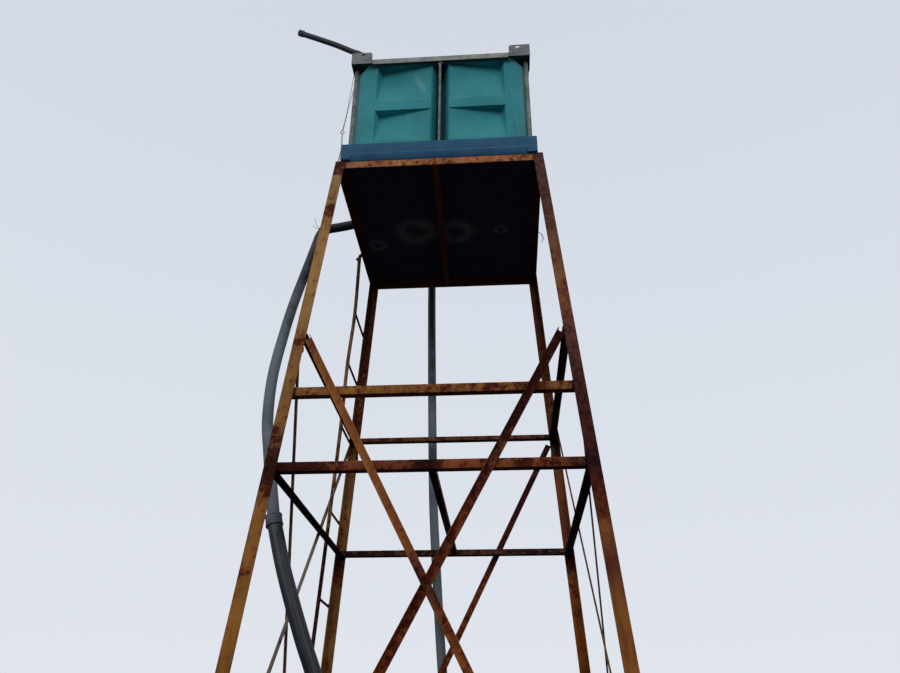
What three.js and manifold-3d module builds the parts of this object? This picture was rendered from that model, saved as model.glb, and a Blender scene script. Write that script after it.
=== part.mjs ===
// Water tower: a splayed angle-iron stand with a plastic tank in a tube cage on its platform.
// Millimetres, +Z up. The front is the -Y side. The origin is on the ground, on the stand's axis.
import * as THREE from 'three';
import { mergeVertices } from 'three/addons/utils/BufferGeometryUtils.js';
import Module from 'manifold-3d';

const wasm = await Module();
wasm.setup();

// Driving dimensions of the stand
const gap = 0.3;            // clearance between pieces that touch
const platformZ = 4231;     // top of the platform's angles
const topHalfX = 525;       // leg heel to axis at platformZ, across
const topHalfY = 571;       // leg heel to axis at platformZ, front to back
const leanX = 0.071;        // how far the legs spread for each mm down
const leanY = 0.0865;
const legWide = 50;         // legs: 50 x 50 x 5 angle
const legThick = 5;
const legTopZ = 4235;
const footSide = 150;       // foot plates
const footThick = 8;
const legFootZ = footThick + gap;
const barWide = 38;         // horizontals: 38 x 38 x 4 angle
const barThick = 4;
const braceWide = 32;       // front and back diagonals: 32 x 32 x 3 angle
const braceThick = 3;
const flatWide = 40;        // side diagonals: 40 x 3 flat bar
const upperRingZ = 3214;    // tops of the horizontals
const frontBarZ = 2914;
const lowerRingZ = 2579;
const braceTopZ = 3152;     // heights where the diagonals' centre lines are braceInset from the heels
const braceFootZ = 712;
const braceInset = 60;
const longFootZ = 285;      // the side diagonals are uneven: two run down nearly to the ground
const shortFootZ = 960;     // and the others end higher on their legs
const rightTopZ = 3250;
const rightShortFootZ = 450;

// Driving dimensions of the platform and the tank
const beamTall = 40;        // platform edge angles
const beamWide = 45;
const beamThick = 4;
const middleBeamFrontX = -16;   // the middle beam lies slightly askew
const middleBeamBackX = -39;
const middleBeamWide = 30;
const tieWide = 28;         // tie across the middle of the lower ring: 28 x 28 x 3 angle
const tieThick = 3;
const tieX = 4;
const deckThick = 4;
const trayHalfX = 500;      // pressed tray under the tank
const trayHalfY = 582;
const trayTall = 102;
const trayWall = 14;
const trayFloor = 12;
const traySlopeTall = 36;   // the lower band slopes in between the corners
const traySlopeIn = 16;
const trayCorner = 48;
const tankHalfX = 465;      // blow-moulded tank body
const tankHalfY = 534;
const tankCorner = 60;
const tankWall = 8;
const tankTopZ = 4985;
const grooveMouth = 94;     // upright groove in the middle of each side, with a slot in its floor
const grooveFloor = 36;
const grooveDeep = 52;
const slotDeep = 36;
const grooveTopZ = 4950;    // the groove is roofed over here
const recessDeep = 52;      // wedge-shaped recesses, deepest at their upper outer corners
const recessLedge = 5;      // and this deep along their feet and at their inner ends
const recessSlope = 22;
const recessMargin = 115;   // from the tank's corner to the recess
const upperRecess = [4690, 4950];
const lowerRecess = [4400, 4616];
const neckRadius = 112;     // filler neck
const neckTall = 26;
const neckWall = 8;
const cornerCutZ = 4905;    // the top corners slope in from here
const cornerCutSum = 965;   // where the slope is, as |x| + |y|
const cornerCutSlope = 0.6;
const postRadius = 12;      // cage of galvanised tube
const postX = 470;
const postY = 512;
const middlePostRadius = 7;
const middlePostIn = 11.7;  // from the rail's outer face to its axis
const railSide = 20;
const railTall = 38;           // between the brackets; its ends are notched to pass over the shelves
const railNotchZ = 4951;
const railTopZ = 4980;
const bracketX = 494;       // corner brackets, on their outer faces
const bracketY = 569;
const bracketLong = 115;
const bracketFootZ = 4945;
const bracketTopZ = 5032;
const bracketThick = 4;
const bracketRound = 16;
const bracketHole = [67, 5016];     // centre of its oval hole, from the outer corner
const shelfLong = 118;      // the bracket's three-cornered shelf
const shelfCut = 28;        // it is cut away at the outer corner

// Pipes, ladder and wire
const supplyRadius = 27;        // above the joint ring
const supplyLowRadius = 32;     // below it
const dropRadius = 25;
const spoutRadius = 16;
const supplyRoute = [[-479, 168, 4425], [-560, 160, 4402], [-656, 152, 4376], [-722, 146, 4360],
  [-752, 141, 4342], [-768, 135, 4306], [-781, 125, 4234], [-804, 100, 4080], [-825, 75, 3939],
  [-844, 50, 3804], [-857, -20, 3560], [-866, -90, 3260], [-846, -138, 3000], [-809, -176, 2836],
  [-728, -228, 2485], [-654, -254, 2270], [-548, -268, 2006], [-475, -268, 1838], [-388, -270, 1560],
  [-310, -270, 1200], [-262, -275, 800], [-245, -280, 380], [-240, -280, 0]];
const supplyJointAt = 14;           // the joint ring is at this point of the route
const jointTall = 52;
const dropRoute = [[-154, 548, 4425], [-154, 690, 4425], [-154, 738, 4408], [-154, 752, 4360],
  [-153, 754, 4200], [-134, 756, 3286], [-122, 775, 2842], [-104, 800, 2514], [-79, 815, 2140],
  [-48, 822, 1750], [-10, 828, 1100], [20, 830, 500], [30, 830, 0]];
const spoutTip = [-841, -500, 5316];
const spoutOver = [[-722, -500, 5252], [-609, -500, 5190], [-515, -500, 5130], [-458, -498, 5098]];
const inletX = -250;                // where the spout enters the tank's top
const inletY = -380;
const outletZ = 4425;               // the tank's two outlets near its foot
const sideOutletY = 168;
const rearOutletX = -154;
const bossRadius = 46;
const bossDeep = 52;
const ladderRail = 20;
const ladderOff = 240;              // rail to leg heel at the ladder's foot
const ladderRailYZ = [[223, 4196], [318, 3864], [332, 3542], [402, 3182], [452, 2747], [495, 2333]];
const rungZ = [3865, 3545, 3190, 2725, 2290, 1960, 1640, 1320, 1000, 680, 360];
const rungRadius = 6.5;
const wireRadius = 2;
const stayRoute = [[-496.5, -466, 4966], [-497, -457, 4942], [-506, -491, 4707], [-512, -523, 4533],
  [-505, -562, 4325], [-507, -578, 4243], [-508, -575, 4215]];
const stayRing = [-515, -535, 4469];
const stayRingRadius = 10;

const paint = new THREE.MeshStandardMaterial({ color: 0x8f6b33, roughness: 0.75, metalness: 0.1 });
const rust = new THREE.MeshStandardMaterial({ color: 0x6b3524, roughness: 0.9, metalness: 0.1 });
const galvanised = new THREE.MeshStandardMaterial({ color: 0x7d8284, roughness: 0.5, metalness: 0.8 });
const trayBlue = new THREE.MeshStandardMaterial({ color: 0x2b4f70, roughness: 0.6, metalness: 0.1 });
const tankGreen = new THREE.MeshStandardMaterial({ color: 0x367a7d, roughness: 0.5, metalness: 0 });
const greyPipe = new THREE.MeshStandardMaterial({ color: 0x4b525c, roughness: 0.6, metalness: 0 });
const blackPipe = new THREE.MeshStandardMaterial({ color: 0x2c3036, roughness: 0.6, metalness: 0 });

const tower = new THREE.Group();

const halfX = (z) => topHalfX + leanX * (platformZ - z);
const halfY = (z) => topHalfY + leanY * (platformZ - z);

// A closed geometry as a solid that can be joined and cut
function solid(geometry) {
  const bare = geometry.index ? geometry.toNonIndexed() : geometry.clone();
  bare.deleteAttribute('normal');
  bare.deleteAttribute('uv');
  const merged = mergeVertices(bare, 1e-3);
  const vertProperties = new Float32Array(merged.attributes.position.array);
  const triVerts = new Uint32Array(merged.index.array);
  return new wasm.Manifold(new wasm.Mesh({ numProp: 3, vertProperties, triVerts }));
}

function geometryOf(body) {
  const mesh = body.getMesh();
  const geometry = new THREE.BufferGeometry();
  geometry.setAttribute('position', new THREE.BufferAttribute(new Float32Array(mesh.vertProperties), 3));
  geometry.setIndex(new THREE.BufferAttribute(new Uint32Array(mesh.triVerts), 1));
  const flat = geometry.toNonIndexed();
  flat.computeVertexNormals();
  return flat;
}

function place(name, shape, material, turn = 0) {
  const geometry = shape instanceof THREE.BufferGeometry ? shape : geometryOf(shape);
  const mesh = new THREE.Mesh(geometry, material);
  mesh.name = name;
  mesh.rotation.z = turn;
  tower.add(mesh);
}

function box(x0, x1, y0, y1, z0, z1) {
  const geometry = new THREE.BoxGeometry(x1 - x0, y1 - y0, z1 - z0);
  geometry.translate((x0 + x1) / 2, (y0 + y1) / 2, (z0 + z1) / 2);
  return solid(geometry);
}

// A plan outline raised from z0 to z1
function upright(points, z0, z1) {
  const shape = new THREE.Shape(points.map(([x, y]) => new THREE.Vector2(x, y)));
  const geometry = new THREE.ExtrudeGeometry(shape, { depth: z1 - z0, bevelEnabled: false });
  geometry.translate(0, 0, z0);
  return solid(geometry);
}

// An outline drawn in X and Z, as thick as y0 to y1
function sheet(points, y0, y1) {
  const shape = new THREE.Shape(points.map(([x, z]) => new THREE.Vector2(x, z)));
  const geometry = new THREE.ExtrudeGeometry(shape, { depth: y1 - y0, bevelEnabled: false });
  geometry.rotateX(Math.PI / 2);
  geometry.translate(0, y1, 0);
  return solid(geometry);
}

function cylinder(radius, from, to, sides = 16) {
  const start = new THREE.Vector3(...from);
  const end = new THREE.Vector3(...to);
  const geometry = new THREE.CylinderGeometry(radius, radius, start.distanceTo(end), sides);
  geometry.rotateX(Math.PI / 2);
  const turn = new THREE.Matrix4().lookAt(end, start, new THREE.Vector3(0.1, 1, 0.2).normalize());
  geometry.applyMatrix4(turn);
  const middle = start.add(end).multiplyScalar(0.5);
  geometry.translate(middle.x, middle.y, middle.z);
  return solid(geometry);
}

// A round bar or pipe along a smooth curve through the points
function bentBar(points, radius, sides, steps) {
  const route = new THREE.CatmullRomCurve3(points.map((p) => new THREE.Vector3(...p)), false, 'centripetal');
  const section = new THREE.Shape();
  for (let i = 0; i < sides; i += 1) {
    const angle = (2 * Math.PI * i) / sides;
    const x = radius * Math.cos(angle);
    const y = radius * Math.sin(angle);
    if (i === 0) section.moveTo(x, y);
    else section.lineTo(x, y);
  }
  section.closePath();
  const geometry = new THREE.ExtrudeGeometry(section, { steps, bevelEnabled: false, extrudePath: route });
  return solid(geometry);
}

// Legs: the heel of each angle is the tower's outer corner
function leg(sx, sy) {
  const section = [
    [0, 0],
    [-sx * legWide, 0],
    [-sx * legWide, -sy * legThick],
    [-sx * legThick, -sy * legThick],
    [-sx * legThick, -sy * legWide],
    [0, -sy * legWide],
  ];
  const shape = new THREE.Shape(section.map(([x, y]) => new THREE.Vector2(x, y)));
  const bar = new THREE.ExtrudeGeometry(shape, { depth: legTopZ - legFootZ, bevelEnabled: false });
  bar.applyMatrix4(new THREE.Matrix4().makeShear(0, 0, 0, 0, -sx * leanX, -sy * leanY));
  bar.translate(sx * halfX(legFootZ), sy * halfY(legFootZ), legFootZ);
  return bar;
}

function footPlate(sx, sy) {
  const x = sx * halfX(0);
  const y = sy * halfY(0);
  const half = footSide / 2;
  return box(x - half, x + half, y - half, y + half, 0, footThick);
}

for (const [row, sy] of [['front', -1], ['back', 1]]) {
  for (const [side, sx] of [['left', -1], ['right', 1]]) {
    place(`leg_${row}_${side}`, leg(sx, sy), paint);
    place(`foot_${row}_${side}`, footPlate(sx, sy), paint);
  }
}

// Each face of the stand is drawn as the front one and turned about the axis.
// across and out are the half sizes along and off the face at a height, and lean is how much out
// grows for each mm down.
const faces = {
  front: { turn: 0, across: halfX, out: halfY, lean: leanY },
  right: { turn: Math.PI / 2, across: halfY, out: halfX, lean: leanX },
  back: { turn: Math.PI, across: halfX, out: halfY, lean: leanY },
  left: { turn: -Math.PI / 2, across: halfY, out: halfX, lean: leanX },
};
const braceLayers = 2 * (braceThick + gap);
const barInset = legThick + gap + braceLayers;

// A horizontal angle: upright flange outside, the other flange inwards at its foot or its top.
// ends are its two reaches from the middle. An end with a cope has that length cut away over the
// height of the flat flange, where it meets the flat flange of the bar that it butts against.
function angleBar(outer, zTop, size, ends, copes, flangeUp = false) {
  const [left, right] = ends;
  const zFoot = zTop - size.tall;
  const web = box(-left, right, -outer, -outer + size.thick, zFoot, zTop);
  const z0 = flangeUp ? zTop - size.thick : zFoot;
  let bar = web.add(box(-left, right, -outer, -outer + size.wide, z0, z0 + size.thick));
  const low = flangeUp ? z0 - gap : z0 - 1;
  const high = flangeUp ? zTop + 1 : z0 + size.thick + gap;
  if (copes[0] > 0) bar = bar.subtract(box(-left - 1, -left + copes[0], -outer - 1, 0, low, high));
  if (copes[1] > 0) bar = bar.subtract(box(right - copes[1], right + 1, -outer - 1, 0, low, high));
  return bar;
}

// Horizontals of the stand. A side bar stops against the front or back bar where there is one.
function ringBar(face, zTop, leftBar, rightBar) {
  const { across, out } = faces[face];
  const toLeg = across(zTop) - legThick - gap;
  const toBar = across(zTop) - barInset - barThick - gap;
  const size = { tall: barWide, wide: barWide, thick: barThick };
  const ends = [leftBar, rightBar].map((bar) => (bar ? toBar : toLeg));
  const copes = [leftBar, rightBar].map((bar) => (bar ? barWide - barThick : 0));
  return angleBar(out(zTop) - barInset, zTop, size, ends, copes);
}

place('upper_bar_left', ringBar('left', upperRingZ, true, false), paint, faces.left.turn);
place('upper_bar_right', ringBar('right', upperRingZ, false, true), paint, faces.right.turn);
place('upper_bar_back', ringBar('back', upperRingZ, false, false), paint, faces.back.turn);
place('front_bar', ringBar('front', frontBarZ, false, false), paint);
place('lower_bar_front', ringBar('front', lowerRingZ, false, false), rust);
place('lower_bar_back', ringBar('back', lowerRingZ, false, false), paint, faces.back.turn);
place('lower_bar_left', ringBar('left', lowerRingZ, true, true), paint, faces.left.turn);
place('lower_bar_right', ringBar('right', lowerRingZ, true, true), paint, faces.right.turn);

// The part of a face between the legs, margin in from the heels
function faceField(face, margin, y0, y1) {
  const { across } = faces[face];
  const low = braceFootZ - 200;
  const high = braceTopZ + 200;
  const foot = across(low) - margin;
  const top = across(high) - margin;
  return sheet([[-foot, low], [foot, low], [top, high], [-top, high]], y0, y1);
}

function strip(from, to, low, high, y0, y1) {
  const along = new THREE.Vector2(to[0] - from[0], to[1] - from[1]).normalize();
  const up = along.x > 0 ? [-along.y, along.x] : [along.y, -along.x];
  const corner = (p, h) => [p[0] + up[0] * h, p[1] + up[1] * h];
  return sheet([corner(from, low), corner(to, low), corner(to, high), corner(from, high)], y0, y1);
}

// Ladder: one rail and its rungs, on the outside of the back left leg's side flange
function ladder() {
  const railX = (z) => -(halfX(z) + gap + ladderRail / 2);
  const route = ladderRailYZ.map(([y, z]) => [railX(z), y, z]);
  const foot = [railX(0), halfY(0) - ladderOff, 0];
  const head = route[0];
  let body = bentBar([...route, foot], ladderRail / 2, 8, 12);
  const stubEnd = [-(topHalfX - legThick), head[1], head[2] + 6];
  body = body.add(cylinder(rungRadius, [head[0], head[1], head[2] + 6], stubEnd, 8));
  for (const z of rungZ) {
    const x = -(halfX(z) + gap + rungRadius);
    body = body.add(cylinder(rungRadius, [x, railY(z), z], [x, halfY(z) - 12, z], 8));
  }
  return body;
}

// Where the rail is at a height, front to back
function railY(z) {
  const last = ladderRailYZ[ladderRailYZ.length - 1];
  if (z < last[1]) return last[0] + (halfY(0) - ladderOff - last[0]) * (last[1] - z) / last[1];
  const i = ladderRailYZ.findIndex(([, height]) => height <= z);
  const [y0, z0] = ladderRailYZ[i - 1];
  const [y1, z1] = ladderRailYZ[i];
  return y0 + ((y1 - y0) * (z0 - z)) / (z0 - z1);
}

// The two ends of a diagonal's centre line, and where it lies: layer 0 is against the legs' flanges,
// layer 1 is inside that, and layer -1 is outside the legs
function diagonal(face, falling, layer, topZ, footZ) {
  const { across } = faces[face];
  const side = falling ? -1 : 1;
  const top = [side * (across(topZ) - braceInset), topZ];
  const foot = [-side * (across(footZ) - braceInset), footZ];
  const y0 = layer < 0 ? -gap - braceThick : legThick + gap + layer * (braceThick + gap);
  return { top, foot, y0, y1: y0 + braceThick };
}

// From the front face's plane, drawn upright, to the leaning face that it belongs to
function onFace(face, body) {
  const { out, lean, turn } = faces[face];
  const geometry = geometryOf(body);
  geometry.applyMatrix4(new THREE.Matrix4().makeShear(0, 0, 0, 0, 0, lean));
  geometry.translate(0, -out(0), 0);
  geometry.rotateZ(turn);
  return geometry;
}

// A diagonal angle: one flange flat in the face, the other standing out along its upper edge
function angleBrace(face, falling, layer) {
  const { top, foot, y0, y1 } = diagonal(face, falling, layer, braceTopZ, braceFootZ);
  const half = braceWide / 2;
  const flat = strip(top, foot, -half, half, y0, y1);
  const flange = strip(top, foot, half - braceThick, half, y1 - braceWide, y1);
  const depth = 2 * braceWide;
  let standing = flange.intersect(faceField(face, legWide + gap, -depth, depth));
  if (layer === 1) {
    const otherTop = [-top[0], top[1]];
    const otherFoot = [-foot[0], foot[1]];
    standing = standing.subtract(strip(otherTop, otherFoot, -half - gap, half + gap, -depth, depth));
  }
  return onFace(face, flat.intersect(faceField(face, legThick + gap, -depth, depth)).add(standing));
}

function flatBrace(face, falling, layer, topZ, footZ) {
  const { top, foot, y0, y1 } = diagonal(face, falling, layer, topZ, footZ);
  const bar = strip(top, foot, -flatWide / 2, flatWide / 2, y0, y1);
  const margin = legThick + gap + braceLayers;
  return onFace(face, bar.intersect(faceField(face, margin, -flatWide, flatWide)));
}

for (const face of ['front', 'back']) {
  place(`brace_${face}_falling`, angleBrace(face, true, 0), paint);
  place(`brace_${face}_rising`, angleBrace(face, false, 1), rust);
}
place('brace_left_falling', flatBrace('left', true, 1, braceTopZ, shortFootZ), paint);
place('brace_left_rising', flatBrace('left', false, 0, braceTopZ, longFootZ), rust);
place('brace_right_falling', flatBrace('right', true, -1, rightTopZ, longFootZ), rust);
place('brace_right_rising', flatBrace('right', false, 0, rightTopZ, rightShortFootZ), paint);

// Platform: four edge angles, a middle beam and the deck plate
const beamOutX = topHalfX - legThick - gap;
const beamOutY = topHalfY - legThick - gap;

function edgeBeams() {
  const size = { tall: beamTall, wide: beamWide, thick: beamThick };
  const sideReach = beamOutY - beamThick - gap;
  const sideCope = beamWide - beamThick;
  for (const face of ['front', 'back', 'left', 'right']) {
    const whole = face === 'front' || face === 'back';
    const outer = whole ? beamOutY : beamOutX;
    const reach = whole ? beamOutX : sideReach;
    const cope = whole ? 0 : sideCope;
    const beam = angleBar(outer, platformZ, size, [reach, reach], [cope, cope], true);
    place(`platform_beam_${face}`, beam, face === 'front' ? rust : paint, faces[face].turn);
  }
}

// A beam from front to back: an angle with its flat flange at its foot. It may lie askew, from
// frontX to backX.
function crossBeam(reach, low, high, wide, thick, frontX, backX) {
  const skew = (x) => (y) => x + (frontX * (reach - y) + backX * (reach + y)) / (2 * reach);
  const bar = (x0, x1, z0, z1) => {
    const edge0 = skew(x0);
    const edge1 = skew(x1);
    const plan = [[edge0(-reach), -reach], [edge1(-reach), -reach], [edge1(reach), reach],
      [edge0(reach), reach]];
    return upright(plan, z0, z1);
  };
  const half = wide / 2;
  return bar(-half, half, low, low + thick).add(bar(half - thick, half, low, high));
}

edgeBeams();
const beamLow = platformZ - beamTall;
const beamHigh = platformZ - beamThick - gap;
const middleBeam = crossBeam(beamOutY - beamThick - gap, beamLow, beamHigh, middleBeamWide, beamThick,
  middleBeamFrontX, middleBeamBackX);
place('platform_beam_middle', middleBeam, rust);
const tieReach = halfY(lowerRingZ) - barInset - barThick - gap;
const tieFootZ = lowerRingZ - barWide + barThick + gap;
const tie = crossBeam(tieReach, tieFootZ, tieFootZ + tieWide, tieWide, tieThick, tieX, tieX);
place('lower_bar_middle', tie, rust);
const deckFootZ = platformZ + gap;
const deckTopZ = deckFootZ + deckThick;
const deckX = halfX(legTopZ) - legThick - gap;
const deckY = halfY(legTopZ) - legThick - gap;
place('deck_plate', box(-deckX, deckX, -deckY, deckY, deckFootZ, deckTopZ), rust);
place('ladder', ladder(), rust);

// Tray: a shallow pan whose sides slope in at the foot, between upright corners
const trayZ = Math.max(deckTopZ, legTopZ) + gap;
const trayTopZ = trayZ + trayTall;

function tray() {
  const floorZ = trayZ + trayFloor;
  let pan = box(-trayHalfX, trayHalfX, -trayHalfY, trayHalfY, trayZ, trayTopZ);
  for (const [half, out, degrees] of [[trayHalfX, trayHalfY, 0], [trayHalfY, trayHalfX, 90],
    [trayHalfX, trayHalfY, 180], [trayHalfY, trayHalfX, 270]]) {
    const reach = half - trayCorner;
    const wedge = new THREE.Shape();
    wedge.setFromPoints([[-out - 1, trayZ - 1], [-out + traySlopeIn, trayZ - 1], [-out + traySlopeIn, trayZ],
      [-out, trayZ + traySlopeTall], [-out - 1, trayZ + traySlopeTall]].map((p) => new THREE.Vector2(...p)));
    const cut = new THREE.ExtrudeGeometry(wedge, { depth: 2 * reach, bevelEnabled: false });
    cut.applyMatrix4(new THREE.Matrix4().set(0, 0, 1, -reach, 1, 0, 0, 0, 0, 1, 0, 0, 0, 0, 0, 1));
    pan = pan.subtract(solid(cut).rotate([0, 0, degrees]));
  }
  const wallX = trayHalfX - trayWall;
  const wallY = trayHalfY - trayWall;
  const well = box(-wallX, wallX, -wallY, wallY, trayZ + traySlopeTall, trayTopZ + 1);
  const sump = box(-wallX + traySlopeIn, wallX - traySlopeIn, -wallY + traySlopeIn, wallY - traySlopeIn,
    floorZ, trayTopZ);
  return pan.subtract(well).subtract(sump);
}

place('tray', tray(), trayBlue);

// Tank: walls with upright grooves and wedge-shaped recesses, a floor and a top of their own
const tankZ = trayZ + trayFloor + gap;
const tankWallZ = tankZ + tankWall + gap;
const tankWallTopZ = tankTopZ - tankWall - gap;

function roundedPlan(halfWide, halfDeep, radius) {
  const shape = new THREE.Shape();
  shape.moveTo(-halfWide + radius, -halfDeep);
  shape.lineTo(halfWide - radius, -halfDeep);
  shape.absarc(halfWide - radius, -halfDeep + radius, radius, -Math.PI / 2, 0);
  shape.lineTo(halfWide, halfDeep - radius);
  shape.absarc(halfWide - radius, halfDeep - radius, radius, 0, Math.PI / 2);
  shape.lineTo(-halfWide + radius, halfDeep);
  shape.absarc(-halfWide + radius, halfDeep - radius, radius, Math.PI / 2, Math.PI);
  shape.lineTo(-halfWide, -halfDeep + radius);
  shape.absarc(-halfWide + radius, -halfDeep + radius, radius, Math.PI, 1.5 * Math.PI);
  return shape;
}

function tankBlock(inset, z0, z1) {
  const plan = roundedPlan(tankHalfX - inset, tankHalfY - inset, tankCorner - inset);
  const options = { depth: z1 - z0, bevelEnabled: false, curveSegments: 6 };
  const geometry = new THREE.ExtrudeGeometry(plan, options);
  geometry.translate(0, 0, z0);
  return solid(geometry);
}

// The groove of one side, grown by a wall's thickness where the inside is cut
function grooveCutter(halfDeep, grow, z0) {
  const face = -halfDeep;
  const out = face - 10;
  const mouth = grooveMouth / 2 + grow;
  const floor = grooveFloor / 2 + grow;
  const floorY = face + grooveDeep + grow;
  const slotY = floorY + slotDeep;
  const plan = [[-mouth, out], [mouth, out], [mouth, face], [floor, floorY], [floor, slotY],
    [-floor, slotY], [-floor, floorY], [-mouth, face]];
  return upright(plan, z0, grooveTopZ + grow);
}

// A recess gets shallower towards the groove and towards its foot
function recessCutter(side, halfWide, halfDeep, grow, heights) {
  const face = -halfDeep;
  const out = face - 10;
  const inner = grooveMouth / 2 + 3;
  const outer = halfWide - recessMargin;
  const ledgeY = face + recessLedge + grow;
  const deepY = face + recessDeep + grow;
  const low = heights[0] - grow;
  const high = heights[1] + grow;
  const plan = [[inner, out], [inner, ledgeY], [outer - recessSlope, deepY], [outer + grow, face],
    [outer + grow, out]];
  const profile = [[out, low], [ledgeY, low], [deepY, high], [out, high]];
  const across = sheet(profile, -halfWide, halfWide).rotate([0, 0, 90]);
  return upright(plan.map(([x, y]) => [side * x, y]), low, high).intersect(across);
}

function sideCutters(halfWide, halfDeep, grow, z0) {
  const cutters = [grooveCutter(halfDeep, grow, z0)];
  for (const side of [-1, 1]) {
    for (const heights of [upperRecess, lowerRecess]) {
      cutters.push(recessCutter(side, halfWide, halfDeep, grow, heights));
    }
  }
  return cutters;
}

// The four sides, as a turn and the half sizes along and off the side
const tankSides = [[0, tankHalfX, tankHalfY], [90, tankHalfY, tankHalfX], [180, tankHalfX, tankHalfY],
  [270, tankHalfY, tankHalfX]];

function allCutters(grow, z0) {
  const cutters = [];
  for (const [degrees, wide, deep] of tankSides) {
    for (const cutter of sideCutters(wide, deep, grow, z0)) cutters.push(cutter.rotate([0, 0, degrees]));
  }
  return cutters;
}

// The slopes that take off the top corners
function cornerCuts(grow) {
  const at = (z) => (cornerCutSum - cornerCutSlope * (z - cornerCutZ)) / Math.SQRT2 - grow;
  const low = cornerCutZ - 20;
  const high = tankTopZ + 20;
  const far = tankHalfX + tankHalfY;
  const wedge = sheet([[at(low), low], [far, low], [far, high], [at(high), high]], -200, 200);
  return [45, 135, 225, 315].map((degrees) => wedge.rotate([0, 0, degrees]));
}

function tankWalls() {
  const low = tankWallZ;
  const high = tankWallTopZ;
  let outside = tankBlock(0, low, high);
  for (const cutter of [...allCutters(0, low - 1), ...cornerCuts(0)]) outside = outside.subtract(cutter);
  let inside = tankBlock(tankWall, low - 1, high + 1);
  for (const cutter of [...allCutters(tankWall, low - 2), ...cornerCuts(tankWall)]) {
    inside = inside.subtract(cutter);
  }
  const sideAt = (x) => [-tankHalfX + x, sideOutletY, outletZ];
  const rearAt = (y) => [rearOutletX, tankHalfY + y, outletZ];
  const sideBoss = cylinder(bossRadius, sideAt(0), sideAt(bossDeep), 24);
  const sideBore = cylinder(supplyRadius - 5, sideAt(-5), sideAt(bossDeep + 8), 24);
  const rearBoss = cylinder(bossRadius, rearAt(-bossDeep), rearAt(0), 24);
  const rearBore = cylinder(dropRadius - 5, rearAt(-bossDeep - 8), rearAt(5), 24);
  return outside.subtract(inside).add(sideBoss).add(rearBoss).subtract(sideBore).subtract(rearBore);
}

function tankFloor() {
  let plate = tankBlock(0, tankZ, tankZ + tankWall);
  for (const [degrees, , deep] of tankSides) {
    plate = plate.subtract(grooveCutter(deep, 0, tankZ - 1).rotate([0, 0, degrees]));
  }
  return plate;
}

function tankTop() {
  const z = tankTopZ - tankWall;
  const neck = cylinder(neckRadius, [0, 0, z], [0, 0, tankTopZ + neckTall], 32);
  const mouth = cylinder(neckRadius - neckWall, [0, 0, z - 1], [0, 0, tankTopZ + neckTall + 1], 32);
  const inlet = cylinder(spoutRadius, [inletX, inletY, z - 1], [inletX, inletY, tankTopZ + 1], 16);
  let plate = tankBlock(0, z, tankTopZ);
  for (const cutter of cornerCuts(0)) plate = plate.subtract(cutter);
  return plate.add(neck).subtract(mouth).subtract(inlet);
}

function fillerCap() {
  const z = tankTopZ + neckTall + gap;
  const profile = [[0, 0], [neckRadius + 8, 0], [neckRadius + 8, 12], [neckRadius - 4, 20], [0, 20]];
  const cap = new THREE.LatheGeometry(profile.map(([r, h]) => new THREE.Vector2(r, h)), 32);
  cap.rotateX(Math.PI / 2);
  cap.translate(0, 0, z);
  return solid(cap);
}

place('tank_walls', tankWalls(), tankGreen);
place('tank_floor', tankFloor(), tankGreen);
place('tank_top', tankTop(), tankGreen);
place('filler_cap', fillerCap(), blackPipe);

// Cage: corner posts and brackets, middle posts and top rails
const cageFootZ = trayZ + traySlopeTall + gap;
const railFootZ = railTopZ - railTall;

function cornerPost(sx, sy) {
  const high = bracketFootZ - gap;
  return cylinder(postRadius, [sx * postX, sy * postY, cageFootZ], [sx * postX, sy * postY, high], 16);
}

// Two upright plates with an oval hole each, on a three-cornered shelf over the post.
// The bracket is drawn from its outer corner.
function cornerBracket(sx, sy) {
  const free = bracketLong;
  const top = bracketTopZ;
  const outline = [[0, bracketFootZ], [free, bracketFootZ], [free, top - bracketRound], [free - 5, top - 5],
    [free - bracketRound, top], [0, top]];
  const hole = [0, 1, 2, 3, 4, 5, 6, 7].map((i) => [
    bracketHole[0] + 12.5 * Math.cos((i * Math.PI) / 4),
    bracketHole[1] + 8 * Math.sin((i * Math.PI) / 4),
  ]);
  const front = sheet(outline, 0, bracketThick).subtract(sheet(hole, -1, bracketThick + 1));
  const side = front.rotate([0, 0, 90]).mirror([1, 0, 0]);
  const into = bracketThick / 2;
  const shelfPlan = [[shelfCut, into], [shelfLong, into], [into, shelfLong], [into, shelfCut]];
  const shelf = upright(shelfPlan, bracketFootZ, bracketFootZ + bracketThick);
  const corner = front.add(side).add(shelf).translate([-bracketX, -bracketY, 0]);
  const mirrored = sx > 0 ? corner.mirror([1, 0, 0]) : corner;
  return sy > 0 ? mirrored.mirror([0, 1, 0]) : mirrored;
}

for (const [row, sy] of [['front', -1], ['back', 1]]) {
  for (const [side, sx] of [['left', -1], ['right', 1]]) {
    place(`cage_post_${row}_${side}`, cornerPost(sx, sy), galvanised);
    place(`cage_bracket_${row}_${side}`, cornerBracket(sx, sy), galvanised);
  }
}

// Top rails and middle posts, drawn on the front and turned to each side. The front and back rails
// run from bracket to bracket, and the side rails stop against them.
function cageSide(outer, reach, between) {
  const inner = -outer + railSide;
  const ends = box(-reach, reach, -outer, inner, railNotchZ, railTopZ);
  const rail = ends.add(box(-between, between, -outer, inner, railFootZ, railTopZ));
  const y = -outer + middlePostIn;
  const post = cylinder(middlePostRadius, [0, y, cageFootZ], [0, y, railFootZ - gap], 12);
  return { rail, post };
}

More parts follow.
